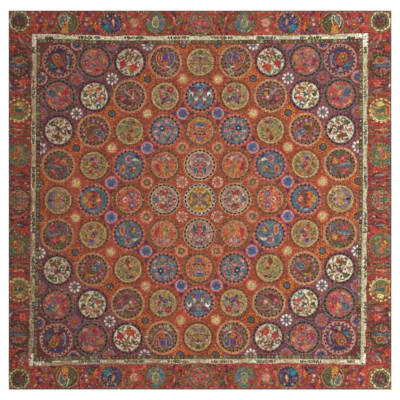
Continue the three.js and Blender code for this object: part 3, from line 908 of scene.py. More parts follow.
# The plate under a roundel's motif, by how many steps it is from the middle one, in millimetres.
# circles: (radius, yarn, lobes), from outside in. teeth: (radius, depth, yarn) of a ring of points.
# beads, and dashes between them: (radius, length, width, yarn). disc: (radius, yarn).
RINGS = {
    0: {
        "circles": [
            (43, "lilac", 22), (39.6, "cream", 0), (35, "shell", 0), (34.4, "straw", 8), (31.8, "rust", 8),
        ],
        "beads": (37.4, 2.8, 5, "black"),
        "disc": (30.6, "mustard"),
    },
    1: {
        "circles": [
            (43.8, "peach", 0), (42.2, "wheat", 0), (40.6, "tan", 0), (34.8, "cream", 0),
            (33.2, "dusty_red", 0),
        ],
        "beads": (37.5, 2.8, 4.2, "black"),
        "disc": (32.3, "shell"),
    },
    2: {
        "circles": [(42.4, "rust", 0), (41, "bronze", 0), (34.6, "salmon", 0)],
        "beads": (37.5, 2.2, 2.9, "umber"),
        "disc": (32.4, "peach"),
    },
    3: {
        "circles": [(45, "coral", 22), (43, "dusty_red", 0)],
        "dashes": (40.4, 2.4, 4, "salmon"),
        "teeth": (39.4, 0.86, "black"),
        "disc": (34.6, "steel"),
    },
    4: {
        "circles": [(42.6, "rust", 0), (41.2, "brick", 0), (36, "tan", 0), (34, "straw", 0)],
        "beads": (38.3, 1.8, 2.2, "black"),
        "disc": (32.2, "old_gold"),
    },
    5: {
        "circles": [(45.2, "peach", 0), (43.6, "wheat", 22), (41.2, "salmon", 0)],
        "dashes": (37.8, 2.6, 3, "olive"),
        "teeth": (39.8, 0.86, "black"),
        "disc": (34.8, "russet"),
    },
    6: {
        "circles": [(42.8, "plum", 0), (35.8, "sage", 0)],
        "beads": (38.6, 2.5, 3.2, "black"),
        "disc": (34.4, "chalk"),
    },
    7: {
        "circles": [(44.6, "pewter", 0), (43, "pine", 0), (41.3, "brown", 0), (36.4, "pewter", 0)],
        "beads": (38.8, 2.6, 3.3, "black"),
        "disc": (35, "dusty_red"),
    },
    8: {
        "circles": [(45, "brick", 0), (44, "pink", 22), (42, "shell", 0), (35.4, "maroon", 0)],
        "beads": (38, 3, 3.2, "black"),
        "disc": (32.8, "purple"),
    },
}

# The ground round each small rosette, by how many steps that is from the middle, and its specks
GROUNDS = {
    1: ("henna", "brick umber coral rust"), 2: ("henna", "scarlet rust umber coral"),
    3: ("henna", "brick plum coral umber"), 4: ("henna", "brown orange umber crimson"),
    5: ("henna", "orange crimson umber peach"), 6: ("grape", "magenta maroon mauve umber"),
    7: ("plum", "maroon crimson slate mauve"), 8: ("maroon", "umber plum crimson dusty_red"),
    9: ("maroon", "brown umber olive crimson"),
}


def pink_daisy(m):
    m.flower("peach", 0, 0, 0.54, petals=9, depth=0.84)
    m.beads("cream", 0, 0, 0.39, 9, 0.1, 0.075)
    m.beads("pink", 0, 0, 0.3, 9, 0.1, 0.05, turn=0.5, sides=4)
    m.flower("rose", 0, 0, 0.24, eye="coral", petals=6)


def olive_button(m):
    m.oval("coral", 0, 0, 0.58, sides=16)
    m.oval("salmon", 0, 0, 0.48, sides=14)
    m.beads("wheat", 0, 0, 0.4, 12, 0.04, 0.05)
    m.flower("bronze", 0, 0, 0.32, petals=9, depth=0.84)
    m.oval("tan", 0, 0, 0.16, sides=6)


def blue_button(m):
    star = [(0, 1.1), (0.3, 0.3), (1.1, 0), (0.3, -0.3), (0, -1.1), (-0.3, -0.3), (-1.1, 0), (-0.3, 0.3)]
    m.add("purple", star)
    m.oval("crimson", 0, 0, 0.6, sides=16)
    m.oval("pink", 0, 0, 0.53, sides=14)
    m.oval("lilac", 0, 0, 0.46, sides=14)
    m.flower("blue", 0, 0, 0.4, petals=8, depth=0.8)
    m.flower("teal", 0, 0, 0.32, petals=4, depth=0.4, turn=45)
    m.flower("violet", 0, 0, 0.26, petals=4, depth=0.5)


def pale_star(m):
    m.flower("coral", 0, 0, 0.54, petals=12, depth=0.8)
    m.flower("salmon", 0, 0, 0.42, petals=12, depth=0.8)
    m.flower("straw", 0, 0, 0.34, petals=8, depth=0.8)
    m.flower("cream", 0, 0, 0.17, eye="amber", petals=6)


def orange_wheel(m):
    m.oval("orange", 0, 0, 0.6, sides=16)
    m.beads("umber", 0, 0, 0.49, 12, 0.06, 0.09, sides=4)
    m.oval("orange", 0, 0, 0.43, sides=14)
    m.flower("umber", 0, 0, 0.38, petals=8, depth=0.8)
    m.oval("slate", 0, 0, 0.24, sides=8)
    m.flower("moss", 0, 0, 0.12, petals=4)


def white_daisy(m):
    m.flower("mauve", 0, 0, 0.55, petals=10, depth=0.86)
    m.beads("ivory", 0, 0, 0.38, 8, 0.13, 0.1)
    m.oval("pewter", 0, 0, 0.2, sides=8)
    m.flower("umber", 0, 0, 0.14, eye="ivory", petals=6)


def ember(m):
    m.flower("mauve", 0, 0, 0.6, petals=10, depth=0.84)
    m.flower("dusty_red", 0, 0, 0.46, petals=10, depth=0.84)
    m.flower("rust", 0, 0, 0.24, eye="coral", petals=6)


def violet_button(m):
    m.flower("maroon", 0, 0, 0.64, petals=14, depth=0.9)
    m.oval("pink", 0, 0, 0.54, sides=14)
    m.beads("wine", 0, 0, 0.47, 12, 0.04, 0.04)
    m.oval("slate", 0, 0, 0.4, sides=12)
    m.flower("navy", 0, 0, 0.3, eye="mauve", petals=7)


ROSETTES = {
    1: pink_daisy, 2: olive_button, 3: blue_button, 4: pale_star, 5: orange_wheel, 6: white_daisy,
    7: ember, 8: violet_button,
}


def made(draw, seed):
    """A motif on a drawing of its own."""
    motif = Drawing(seed)
    draw(motif)
    return motif


# The field

def bow(low, middle, high, share):
    """A value on the curve through three, at -1, 0 and 1."""
    return middle + share * (high - low) / 2 + share * share * ((high + low) / 2 - middle)


def lattice(i, j):
    u, v = i / LAST, j / LAST
    place = []
    for axis in (0, 1):
        rows = [bow(*(LATTICE[row][column][axis] for column in (-1, 0, 1)), u) for row in (-1, 0, 1)]
        place.append(bow(*rows, v))
    return place


def side(value):
    """Which way a motif left of the middle, or above it, is turned at a place."""
    return 1 if value <= 0 else -1


def draw_roundel(field, i, j, motifs):
    ring = RINGS[abs(i) + abs(j)]
    plate = Drawing()
    for radius, yarn, lobes in ring["circles"]:
        if lobes:
            plate.flower(yarn, 0, 0, radius, petals=lobes, depth=LOBE_DEPTH)
        else:
            plate.oval(yarn, 0, 0, radius, sides=BEADS)
    if "teeth" in ring:
        radius, depth, yarn = ring["teeth"]
        plate.flower(yarn, 0, 0, radius, petals=BEADS, depth=depth)
    for kind, turn in (("dashes", 0), ("beads", 0.5)):
        if kind in ring:
            radius, long, wide, yarn = ring[kind]
            plate.beads(yarn, 0, 0, radius, BEADS, long, wide, turn, sides=4)
    radius, yarn = ring["disc"]
    plate.oval(yarn, 0, 0, radius, sides=BEADS, busy=DISC_FLECKS)
    x, y = lattice(i, j)
    flip = (side(i), side(-j))
    field.stamp(plate, x, y, MM)
    field.stamp(motifs[abs(i), abs(j)], x, y, radius * MM, flip)


def draw_ground(field, i, j):
    """One square of ground between four roundels, round the rosette at i, j, with rows of specks."""
    steps = min(9, round(abs(i) + abs(j)))
    yarn, specks = GROUNDS[steps]
    corners = ((-0.5, -0.5), (0.5, -0.5), (0.5, 0.5), (-0.5, 0.5))
    field.add(yarn, [lattice(i + u, j + v) for u, v in corners], GROUND_FLECKS)
    names = specks.split()
    for row in range(SPECK_ROWS):
        for column in range(SPECK_ROWS):
            u, v = (column + 0.5) / SPECK_ROWS - 0.5, (row + 0.5) / SPECK_ROWS - 0.5
            from_roundel = math.hypot(0.5 - abs(u), 0.5 - abs(v)) * PITCH
            from_rosette = math.hypot(u, v) * PITCH
            if from_roundel < CLEAR_OF_ROUNDEL or from_rosette < CLEAR_OF_ROSETTE:
                continue
            x, y = lattice(i + u, j + v)
            name = names[(row * 2 + column + 2 * field.random.randint(0, 1)) % len(names)]
            field.oval(name, x, y, SPECK_LONG, SPECK_WIDE, 90 * (row % 2), 4, SPECK_FLECKS)


def draw_links(field, i, j):
    """Rows of dots from a rosette towards the necks between the roundels."""
    for ahead, beside in ((1, 0), (-1, 0), (0, 1), (0, -1)):
        for step in range(LINK_DOTS):
            along = LINK_START + step * LINK_STEP
            for lane, bright in ((-1, "salmon"), (1, "pink")):
                u = ahead * along + beside * lane * LINK_LANE
                v = beside * along + ahead * lane * LINK_LANE
                yarn = "umber" if (step + lane) % 4 == 1 else bright
                x, y = lattice(i + u, j + v)
                field.oval(yarn, x, y, LINK_SIZE, LINK_SIZE, 45, 4, 0)


def draw_inner_guard(field, outline):
    """The olive band along the field's edge, woven in blocks."""
    grounds = ("moss", "brown", "sage", "umber", "olive", "mauve", "olive", "brown")
    flowers = ("straw", "tan", "lilac", "sage", "rust")
    inner = inset(outline, BLOCK_DEPTH)
    for (start, end), (inner_start, inner_end) in zip(directed_edges(outline), directed_edges(inner)):
        count = max(1, round(math.dist(start, end) / BLOCK_LENGTH))
        for block in range(count):
            first, last = block / count, (block + 1) / count
            shares = (first, (first + last) / 2, last)
            outside = [mixed(start, end, share) for share in shares]
            inside_line = [mixed(inner_start, inner_end, share) for share in shares]
            corners = [outside[0], outside[2], inside_line[2], inside_line[0]]
            field.add(field.random.choice(grounds), corners, BLOCK_FLECKS)
            middle = mixed(outside[1], inside_line[1], 0.5)
            field.flower(field.random.choice(flowers), *middle, BLOCK_FLOWER, petals=4, depth=0.5)
            gap = [mixed(corners[0], corners[1], 0.1), mixed(corners[3], corners[2], 0.1)]
            field.add("umber", [corners[0], *gap, corners[3]], 0)
    for a, b in directed_edges(inner):
        field.stroke("maroon", BLOCK_LINE, a, b)


def draw_field(outline):
    field = Drawing(11)
    field.add("maroon", outline, CLOTH_FLECKS)
    halves = [k + 0.5 for k in range(-LAST - 1, LAST + 1)]
    for j in halves:
        for i in halves:
            draw_ground(field, i, j)
    rosettes = {steps: made(draw, steps) for steps, draw in ROSETTES.items()}
    for j in halves:
        for i in halves:
            steps = round(abs(i) + abs(j))
            if steps in rosettes:
                draw_links(field, i, j)
                field.stamp(rosettes[steps], *lattice(i, j), ROSETTE)
    motifs = {place: made(draw, 5 * place[0] + place[1]) for place, draw in MOTIFS.items()}
    for j in range(-LAST, LAST + 1):
        for i in range(-LAST, LAST + 1):
            draw_roundel(field, i, j, motifs)
    draw_inner_guard(field, outline)
    return field


# Mesh building

def mixed(a, b, share):
    return (a[0] + (b[0] - a[0]) * share, a[1] + (b[1] - a[1]) * share)


def directed_edges(ring):
    """Each corner of a ring with the next one."""
    return zip(ring, ring[1:] + ring[:1])


def box(points):
    """The leftmost, rightmost, lowest and highest reach of points."""
    xs = [p[0] for p in points]
    ys = [p[1] for p in points]
    return min(xs), max(xs), min(ys), max(ys)


def node_outline(node):
    """The outline of a CAD node's top face, anticlockwise."""
    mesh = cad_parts[node].data
    mesh.calc_loop_triangles()
    top = THICKNESS * 0.9
    places = [(round(v.co.x, 6), round(v.co.y, 6)) for v in mesh.vertices]
    following = {}
    for triangle in mesh.loop_triangles:
        if all(mesh.vertices[v].co.z > top for v in triangle.vertices):
            ring = [places[v] for v in triangle.vertices]
            for a, b in directed_edges(ring):
                if following.get(b, {}).get(a):
                    following[b].pop(a)
                else:
                    following.setdefault(a, {})[b] = True
    following = {a: next(iter(ends)) for a, ends in following.items() if ends}
    start = min(following)
    outline = [start]
    while following[outline[-1]] != start:
        outline.append(following[outline[-1]])
    return outline


def outward(outline):
    """At each corner of an anticlockwise outline, the way out, as long as an even offset needs."""
    ways = []
    for before, here, after in zip(outline[-1:] + outline[:-1], outline, outline[1:] + outline[:1]):
        normals = []
        for a, b in ((before, here), (here, after)):
            size = math.dist(a, b) or 1
            normals.append(((b[1] - a[1]) / size, (a[0] - b[0]) / size))
        x, y = normals[0][0] + normals[1][0], normals[0][1] + normals[1][1]
        size = max(x * x + y * y, 0.5)
        ways.append((2 * x / size, 2 * y / size))
    return ways


def inset(outline, distance):
    return [(x - u * distance, y - v * distance) for (x, y), (u, v) in zip(outline, outward(outline))]


def inside(x, y, outline):
    odd = False
    for a, b in directed_edges(outline):
        if (a[1] > y) != (b[1] > y) and x < a[0] + (y - a[1]) / (b[1] - a[1]) * (b[0] - a[0]):
            odd = not odd
    return odd


def signed_area(points):
    """The area inside a ring of points, above zero if they run anticlockwise."""
    return sum(a[0] * b[1] - b[0] * a[1] for a, b in directed_edges(points)) / 2


def surface_height(x, y):
    """How far the underside stands off the table in soft low waves, and the hem's extra height."""
    wave = WAVE_MIDDLE
    for scale, place, share in WAVES:
        wave += share * noise.noise(Vector((x * scale, y * scale, place)))
    lift = WAVE_HEIGHT * max(0, wave)
    to_edge = min(HALF_WIDTH - abs(x), HALF_LENGTH - abs(y))
    hem = HEM_RAISE * min(1, max(0, 1 - (to_edge - HEM_LINE) / (HEM_WIDTH - HEM_LINE)))
    return lift, hem


def wobbled(x, y):
    """A woven point: the pattern's lines waver a little."""
    shift = noise.noise_vector(Vector((x * WOBBLE_SCALE, y * WOBBLE_SCALE, 0)))
    return x + shift.x * WEAVE_WOBBLE, y + shift.y * WEAVE_WOBBLE


def loose_points(outline, spacing):
    """Points spread evenly inside an outline, in staggered rows."""
    left, right, low, high = box(outline)
    wide, tall = right - left, high - low
    columns, rows = int(wide / spacing), int(tall / spacing)
    points = []
    for row in range(1, rows):
        for column in range(1, columns):
            x = left + wide * (column + 0.5 * (row % 2)) / columns
            y = low + tall * row / rows
            if inside(x, y, outline):
                points.append((x, y))
    return points


def cut_apart(points, edges, rings):
    """A triangulation that keeps the edges and rings, worked out in millimetres.

    The result is its places, triangles and edges, and which edges and rings those came from.
    """
    per_metre, inside_rings, nearest = 1000, 1, 1e-5
    vectors = [Vector((x * per_metre, y * per_metre)) for x, y in points]
    cut = delaunay_2d_cdt(vectors, edges, rings, inside_rings, nearest, True)
    places = [(p.x / per_metre, p.y / per_metre) for p in cut[0]]
    return places, [tuple(triangle) for triangle in cut[2]], cut[1], cut[4], cut[5]


def visible_edges(triangles, tops):
    """Each edge between two shapes, in both directions, with the shape on its left."""
    left = {}
    for triangle, top in zip(triangles, tops):
        for edge in directed_edges(triangle):
            left[edge] = top
    return {(a, b): top for (a, b), top in left.items() if left.get((b, a)) != top}


def straighten(edges, places, longest):
    """Takes out the points along straight stretches of the edges."""
    ends = {}
    for a, b in edges:
        ends.setdefault(a, set()).add(b)
        ends.setdefault(b, set()).add(a)
    for here, both in ends.items():
        if len(both) != 2:
            continue
        a, b = both
        length = math.dist(places[a], places[b])
        corner = abs(signed_area([places[a], places[here], places[b]]))
        if b in ends[a] or length > longest or corner > length * STRAIGHT_WITHIN / 2:
            continue
        for start, end in ((a, b), (b, a)):
            top = edges.pop((start, here), None)
            if edges.pop((here, end), None) is not None or top is not None:
                edges[start, end] = top
        ends[a].remove(here)
        ends[b].remove(here)
        ends[a].add(b)
        ends[b].add(a)


def filled(triangles, sides, places):
    """Each triangle's shape. A region between edges takes the shape that most of those edges name."""
    owner = {}
    for t, triangle in enumerate(triangles):
        for edge in directed_edges(triangle):
            owner[edge] = t
    tops = [None] * len(triangles)
    seen = set()
    for first in range(len(triangles)):
        if first in seen:
            continue
        seen.add(first)
        region, votes = [first], {}
        for t in region:
            for a, b in directed_edges(triangles[t]):
                if (a, b) in sides:
                    top = sides[a, b]
                    votes[top] = votes.get(top, 0) + math.dist(places[a], places[b])
                    continue
                beside = owner.get((b, a))
                if beside is not None and beside not in seen:
                    seen.add(beside)
                    region.append(beside)
        top = max(votes, key=votes.get) if votes else None
        for t in region:
            tops[t] = top
    return tops


def tiled(outline, shapes, spacing):
    """Cuts the outline's inside along every edge that shows, into triangles with their top shape."""
    points, rings, names = [], [], []
    left, right, low, high = box(outline)
    for k, (_, corners, _) in enumerate(shapes):
        west, east, south, north = box(corners)
        if east > left and west < right and north > low and south < high:
            ring = corners if signed_area(corners) > 0 else corners[::-1]
            rings.append(list(range(len(points), len(points) + len(ring))))
            points.extend(ring)
            names.append(k)
    places, triangles, _, _, sources = cut_apart(points, [], rings)
    kept = [(triangle, names[max(found)]) for triangle, found in zip(triangles, sources) if 0 in found]
    edges = visible_edges(*zip(*kept))
    straighten(edges, places, spacing)
    used = sorted({v for edge in edges for v in edge})
    number = {v: k for k, v in enumerate(used)}
    pairs = sorted({(min(edge), max(edge)) for edge in edges})
    points = [places[v] for v in used] + loose_points(outline, spacing)
    plain = [(number[a], number[b]) for a, b in pairs]
    places, triangles, cut_edges, origins, _ = cut_apart(points, plain, [])
    sides = {}
    for (a, b), found in zip(cut_edges, origins):
        if found:
            start, end = pairs[found[0]]
            p, q = points[number[start]], points[number[end]]
            way = (places[b][0] - places[a][0], places[b][1] - places[a][1])
            along = (q[0] - p[0]) * way[0] + (q[1] - p[1]) * way[1]
            forward = (a, b) if along > 0 else (b, a)
            sides[forward] = edges.get((start, end))
            sides[forward[::-1]] = edges.get((end, start))
    tops = filled(triangles, sides, places)
    inner = [(triangle, top) for triangle, top in zip(triangles, tops) if top is not None]
    return places, [triangle for triangle, _ in inner], [top for _, top in inner]


def boundary_loop(triangles):
    """The points round a mesh's outside, anticlockwise, and the triangle at each edge of it."""
    following = {}
    for t, triangle in enumerate(triangles):
        for a, b in directed_edges(triangle):
            if (b, a) in following:
                following.pop((b, a))
            else:
                following[a, b] = t
    after = {a: (b, t) for (a, b), t in following.items()}
    start = min(after)
    loop, owners = [], []
    here = start
    while True:
        loop.append(here)
        here, owner = after[here]
        owners.append(owner)
        if here == start:
            return loop, owners


def add_edge(vertices, faces, colours, loop, owners):
    """A rounded edge, down from the loop to the underside. Returns its lowest points."""
    ways = outward([vertices[v][:2] for v in loop])
    before = loop
    for out, down in EDGE_STEPS:
        ring = list(range(len(vertices), len(vertices) + len(loop)))
        for v, (u, w) in zip(loop, ways):
            x, y, z = vertices[v]
            base = surface_height(x, y)[0]
            height = z - down if down < THICKNESS else base
            vertices.append((x + u * out, y + w * out, max(base, height)))
        for (a, b), (c, d), owner in zip(directed_edges(before), directed_edges(ring), owners):
            faces.append((a, c, d, b))
            colours.append(colours[owner])
        before = ring
    return before


def add_underside(vertices, faces, colours, outline, lowest, colour):
    """The plain underside, from the lowest points of the edge, which lie under the outline."""
    spread = outline + loose_points(outline, UNDER_SPACING)
    places, triangles, _, _, found = cut_apart(spread, [], [list(range(len(outline)))])
    at = {(round(x, 7), round(y, 7)): v for (x, y), v in zip(outline, lowest)}
    names = []
    for x, y in places:
        key = (round(x, 7), round(y, 7))
        if key not in at:
            at[key] = len(vertices)
            vertices.append((x, y, surface_height(x, y)[0]))
        names.append(at[key])
    for (a, b, c), rings in zip(triangles, found):
        if rings:
            faces.append((names[c], names[b], names[a]))
            colours.append((colour, UNDER_FLECKS))


def cloth_piece(node, drawing, outline, material, slot):
    """The thin sheet that stands for a CAD node, with its pattern cut into its upper face."""
    top_outline = inset(outline, EDGE_ROUND)
    shapes = [(GROUND_YARNS[slot], top_outline, CLOTH_FLECKS)]
    for yarn, points, busy in drawing.shapes:
        shapes.append((yarn, [wobbled(x, y) for x, y in points], busy))
    places, triangles, tops = tiled(top_outline, shapes, FACE_SPACING)
    vertices = []
    for x, y in places:
        lift, hem = surface_height(x, y)
        vertices.append((x, y, THICKNESS + lift + hem))
    shade = random.Random(node)
    dyed = [(yarn_colour(yarn, shade.uniform(*DYE_RANGE)), busy) for yarn, _, busy in shapes]
    colours = [dyed[top] for top in tops]
    faces = list(triangles)
    loop, owners = boundary_loop(triangles)
    lowest = add_edge(vertices, faces, colours, loop, owners)
    under_outline = [places[v] for v in loop]
    add_underside(vertices, faces, colours, under_outline, lowest, yarn_colour(BACKS[slot], BACK_SHADE))

    mesh = bpy.data.meshes.new(node + "_cloth")
    mesh.from_pydata(vertices, [], faces)
    attribute = mesh.color_attributes.new("yarn", "FLOAT_COLOR", "CORNER")
    values = []
    for face, (colour, busy) in zip(faces, colours):
        for v in face:
            # Painted light: each corner's colour is brightened by how far right it lies
            values.extend((*with_painted_light(colour, vertices[v][0]), busy))
    attribute.data.foreach_set("color", values)
    mesh.materials.append(material)
    mesh.shade_smooth()
    piece = bpy.data.objects.new(node + "_cloth", mesh)
    bpy.context.collection.objects.link(piece)
    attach(piece, "root")
    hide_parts(node)


# The yarns under the pattern and of the underside, and how much their dye varies
DYE_RANGE = (0.86, 1.16)
BACK_SHADE = 0.9
GROUND_YARNS = {"field_cloth": "brown", "guard_cloth": "cream", "border_cloth": "crimson"}
BACKS = {"field_cloth": "brick", "guard_cloth": "tan", "border_cloth": "maroon"}

# The border and the cream guard. A side is drawn lying level with its outer edge at the top: x from
# the side's middle, y up from the outer edge. Its left half is drawn and mirrored.

def border_plate(m, rim, beads, band, disc, long=0.05, wide=0.07, count=24):
    """A border roundel's plate. rim, beads, band and disc: (yarn, radius)."""
    m.oval(rim[0], 0, 0, rim[1], sides=26)
    m.beads(beads[0], 0, 0, beads[1], count, long, wide)
    m.oval(band[0], 0, 0, band[1], sides=24)
    m.oval(disc[0], 0, 0, disc[1], sides=24)


def corner_roundel(m):
    m.oval("olive", 0, 0, 1.02, sides=26)
    m.oval("brown", 0, 0, 0.94, sides=24)
    m.beads("cream", 0, 0, 0.8, 15, 0.075, 0.15)
    m.beads("straw", 0, 0, 0.88, 9, 0.05, 0.13, turn=0.4)
    m.oval("moss", 0, 0, 0.68, sides=20)
    m.beads("tan", 0, 0, 0.62, 11, 0.05, 0.07, turn=0.3)
    m.oval("umber", 0, 0, 0.6, 0.5, -40, 16)
    m.sprinkle("brown mauve umber plum moss", 16, reach=0.5, size=0.12)
    m.oval("plum", 0.04, 0.04, 0.26, 0.18, -40, 10)
    m.dots("crimson", 0.06, (-0.2, 0.3), (0.3, -0.25), (0.25, 0.2), (-0.3, -0.05), (0.0, -0.3))
    m.arc("cream", -0.1, -0.1, 0.7, 140, 235, 0.1)


def flame_roundel(m):
    m.flower("rust", 0, 0, 1.16, petals=24, depth=0.94)
    m.beads("maroon", 0, 0, 1.06, 24, 0.06, 0.07)
    m.oval("tan", 0, 0, 0.97, sides=26)
    m.oval("umber", 0, 0, 0.89, sides=24)
    m.sprinkle("plum umber pewter mauve", 30, reach=0.8)
    m.oval("moss", 0.38, -0.1, 0.44, 0.66, 0, 12)
    m.sprinkle("dusty_red umber brown", 20, reach=0.78, size=0.06)
    m.leaf("teal", (-0.1, 0.85), (0.2, 0.2), 0.36)
    m.leaf("leaf", (0.12, 0.74), (0.28, 0.16), 0.28)
    m.drop("pewter", (-0.42, 0.46), 0.24, (-0.56, -0.3), -0.2, edge="cream")
    m.stroke("cream", 0.1, (-0.14, 0.86), (0.0, 0.0), 0.3)
    m.stroke("straw", 0.1, (0.0, 0.0), (0.1, -0.84), -0.34)
    m.drop("amber", (-0.22, -0.56), 0.26, (-0.14, 0.16), 0, edge="orange")
    m.oval("maroon", -0.22, -0.14, 0.1, 0.13)
    m.dots("scarlet", 0.08, (-0.38, -0.38), (-0.05, -0.36))
    m.dots("rose", 0.055, (0.42, 0.3), (0.6, 0.1), (0.4, -0.1), (0.62, -0.26), (0.4, -0.44), (0.24, -0.6))


def night_roundel(m):
    m.flower("peach", 0, 0, 1.12, petals=24, depth=0.93)
    m.oval("brown", 0, 0, 1.02, sides=26)
    m.beads("tan", 0, 0, 0.95, 22, 0.06, 0.07)
    m.oval("navy", 0, 0, 0.86, sides=24)
    m.sprinkle("slate navy violet plum", 30, reach=0.76)
    m.arc("violet", 0, 0, 0.66, -60, 60, 0.3)
    m.oval("sea", -0.44, -0.36, 0.32, 0.26, 30)
    m.oval("teal", -0.2, -0.6, 0.24, 0.16, 10)
    m.oval("mauve", -0.56, 0.14, 0.24, 0.18)
    m.arc("brown", 0.16, 0.12, 0.4, -50, 130, 0.16)
    m.oval("peach", 0.14, 0.12, 0.15, 0.34, 12)
    m.oval("cream", 0.14, 0.16, 0.07, 0.2, 12)
    m.dots("cream", 0.1, (-0.36, 0.64), (0.34, 0.66))
    m.leaf("dusty_red", (-0.1, -0.3), (0.3, -0.6), 0.18)
    m.dots("orange", 0.07, (-0.2, 0.44), (-0.66, 0.4))


def teal_roundel(m):
    border_plate(m, ("rust", 1.14), ("olive", 1.02), ("brown", 0.95), ("pewter", 0.86))
    m.sprinkle("steel pewter teal sage mauve", 34, reach=0.78)
    m.leaf("crimson", (-0.72, 0.1), (-0.3, 0.66), 0.42)
    m.leaf("teal", (-0.3, 0.8), (0.4, 0.78), 0.26)
    m.leaf("leaf", (-0.56, -0.1), (-0.2, -0.6), 0.34)
    m.drop("sage", (-0.02, -0.06), 0.26, (0.06, 0.62), 0.1, edge="straw")
    m.oval("steel", 0.46, -0.1, 0.24, 0.4)
    m.oval("blue", 0.5, -0.2, 0.12, 0.2)
    m.arc("leaf", 0, 0, 0.66, 200, 300, 0.16)
    m.dots("amber", 0.07, (0.22, -0.26), (0.1, 0.3))
    m.dots("pink", 0.07, (0.0, -0.72), (0.2, -0.64), (0.5, 0.34))


def rose_roundel(m):
    border_plate(m, ("olive", 1.12), ("pewter", 1.03), ("brown", 0.94), ("dusty_red", 0.88), wide=0.08)
    m.sprinkle("rose coral moss crimson mauve", 36, reach=0.8)
    m.leaf("leaf", (0.1, 0.6), (0.5, 0.3), 0.24)
    m.leaf("moss", (0.2, -0.5), (0.66, -0.4), 0.22)
    m.flower("crimson", 0, 0.56, 0.24, eye="pink", petals=6)
    m.flower("rose", 0.42, 0.0, 0.22, eye="crimson", petals=6)
    m.leaf("coral", (0.0, 0.2), (0.0, -0.34), 0.34, 0)
    m.leaf("salmon", (0.1, -0.7), (0.4, -0.74), 0.16)
    m.dots("grey", 0.07, (0.62, 0.34), (0.3, -0.2))
    m.oval("steel", 0, -0.66, 0.16, 0.1)
    m.mirror()


def umber_roundel(m):
    border_plate(m, ("umber", 1.14), ("olive", 1.04), ("black", 0.96), ("brown", 0.9), wide=0.08)
    m.sprinkle("dusty_red umber mauve plum", 36, reach=0.82)
    m.oval("umber", 0.0, 0.0, 0.2, 0.92, 0, 14)
    m.oval("slate", 0.0, 0.1, 0.14, 0.74, 0, 12)
    m.drop("brick", (-0.44, -0.18), 0.24, (-0.62, 0.44), -0.16, edge="tan", rim=0.08)
    m.dots("crimson", 0.09, (-0.42, -0.16), (-0.56, 0.14))
    m.leaf("leaf", (-0.86, -0.1), (-0.7, -0.5), 0.22)
    m.arc("pink", 0.48, 0.16, 0.24, 0, 350, 0.07)
    m.oval("rust", 0.48, 0.16, 0.15, 0.22)
    m.dots("dusty_red", 0.07, (0.7, -0.3), (0.46, -0.4), (0.26, -0.62), (0.7, 0.4), (0.3, 0.6))
    m.dots("grey", 0.06, (-0.3, 0.72), (-0.7, 0.5), (-0.2, -0.6))


def gold_roundel(m):
    border_plate(
        m, ("rust", 1.12), ("straw", 1.0), ("brown", 0.9), ("old_gold", 0.84), long=0.1, wide=0.15, count=16,
    )
    m.sprinkle("brown olive mustard rust bronze", 36, reach=0.82)
    m.arc("cream", 0, 0, 0.9, -110, 60, 0.08)
    m.oval("orange", 0.0, 0.6, 0.5, 0.16)
    m.leaf("rust", (-0.5, 0.5), (0.5, 0.56), 0.16)
    m.arc("leaf", 0.06, 0.0, 0.58, -70, 50, 0.26)
    m.oval("straw", -0.56, -0.06, 0.2, 0.3)
    m.oval("olive", -0.3, 0.2, 0.14, 0.3)
    m.oval("pine", 0, -0.04, 0.15, 0.44, 0, 12)
    m.dots("crimson", 0.08, (0.3, 0.34), (-0.36, -0.56), (-0.7, 0.4))
    m.dots("coral", 0.07, (0.24, -0.5), (-0.2, 0.7), (0.66, 0.5))


def emerald_roundel(m):
    border_plate(m, ("rust", 1.12), ("grey", 1.02), ("moss", 0.96), ("olive", 0.88), wide=0.06)
    m.sprinkle("sage moss pewter brown rust", 38, reach=0.82)
    m.oval("peach", -0.46, -0.06, 0.26, 0.2)
    m.flower("coral", -0.1, 0.26, 0.24, eye="maroon", petals=6)
    m.leaf("amber", (0.1, 0.5), (0.34, 0.1), 0.24)
    m.arc("teal", 0, 0, 0.76, -66, 0, 0.28)
    m.arc("leaf", 0, 0, 0.74, -56, -10, 0.16)
    m.dots("scarlet", 0.1, (0.42, -0.06), (0.3, 0.14))
    m.oval("steel", 0.56, 0.6, 0.22, 0.16)
    m.oval("teal", -0.62, 0.6, 0.24, 0.16)
    m.oval("slate", -0.44, -0.64, 0.28, 0.13)
    m.dots("rose", 0.07, (0.1, -0.4), (-0.2, -0.3), (-0.7, 0.2))


def clay_roundel(m):
    border_plate(m, ("brown", 1.12), ("dusty_red", 1.02), ("umber", 0.95), ("tan", 0.88))
    m.sprinkle("dusty_red brown rust mauve olive", 40, reach=0.82)
    m.leaf("brick", (0.1, 0.7), (0.6, 0.3), 0.26)
    m.leaf("rust", (0.16, 0.2), (0.6, -0.2), 0.22)
    m.flower("coral", 0.4, -0.46, 0.22, eye="maroon")
    m.leaf("moss", (0.06, -0.2), (0.2, -0.7), 0.2)
    m.oval("teal", 0.1, 0.2, 0.14, 0.18)
    m.dots("pink", 0.06, (0.3, 0.06), (0.6, 0.06), (0.2, -0.4))
    m.mirror()


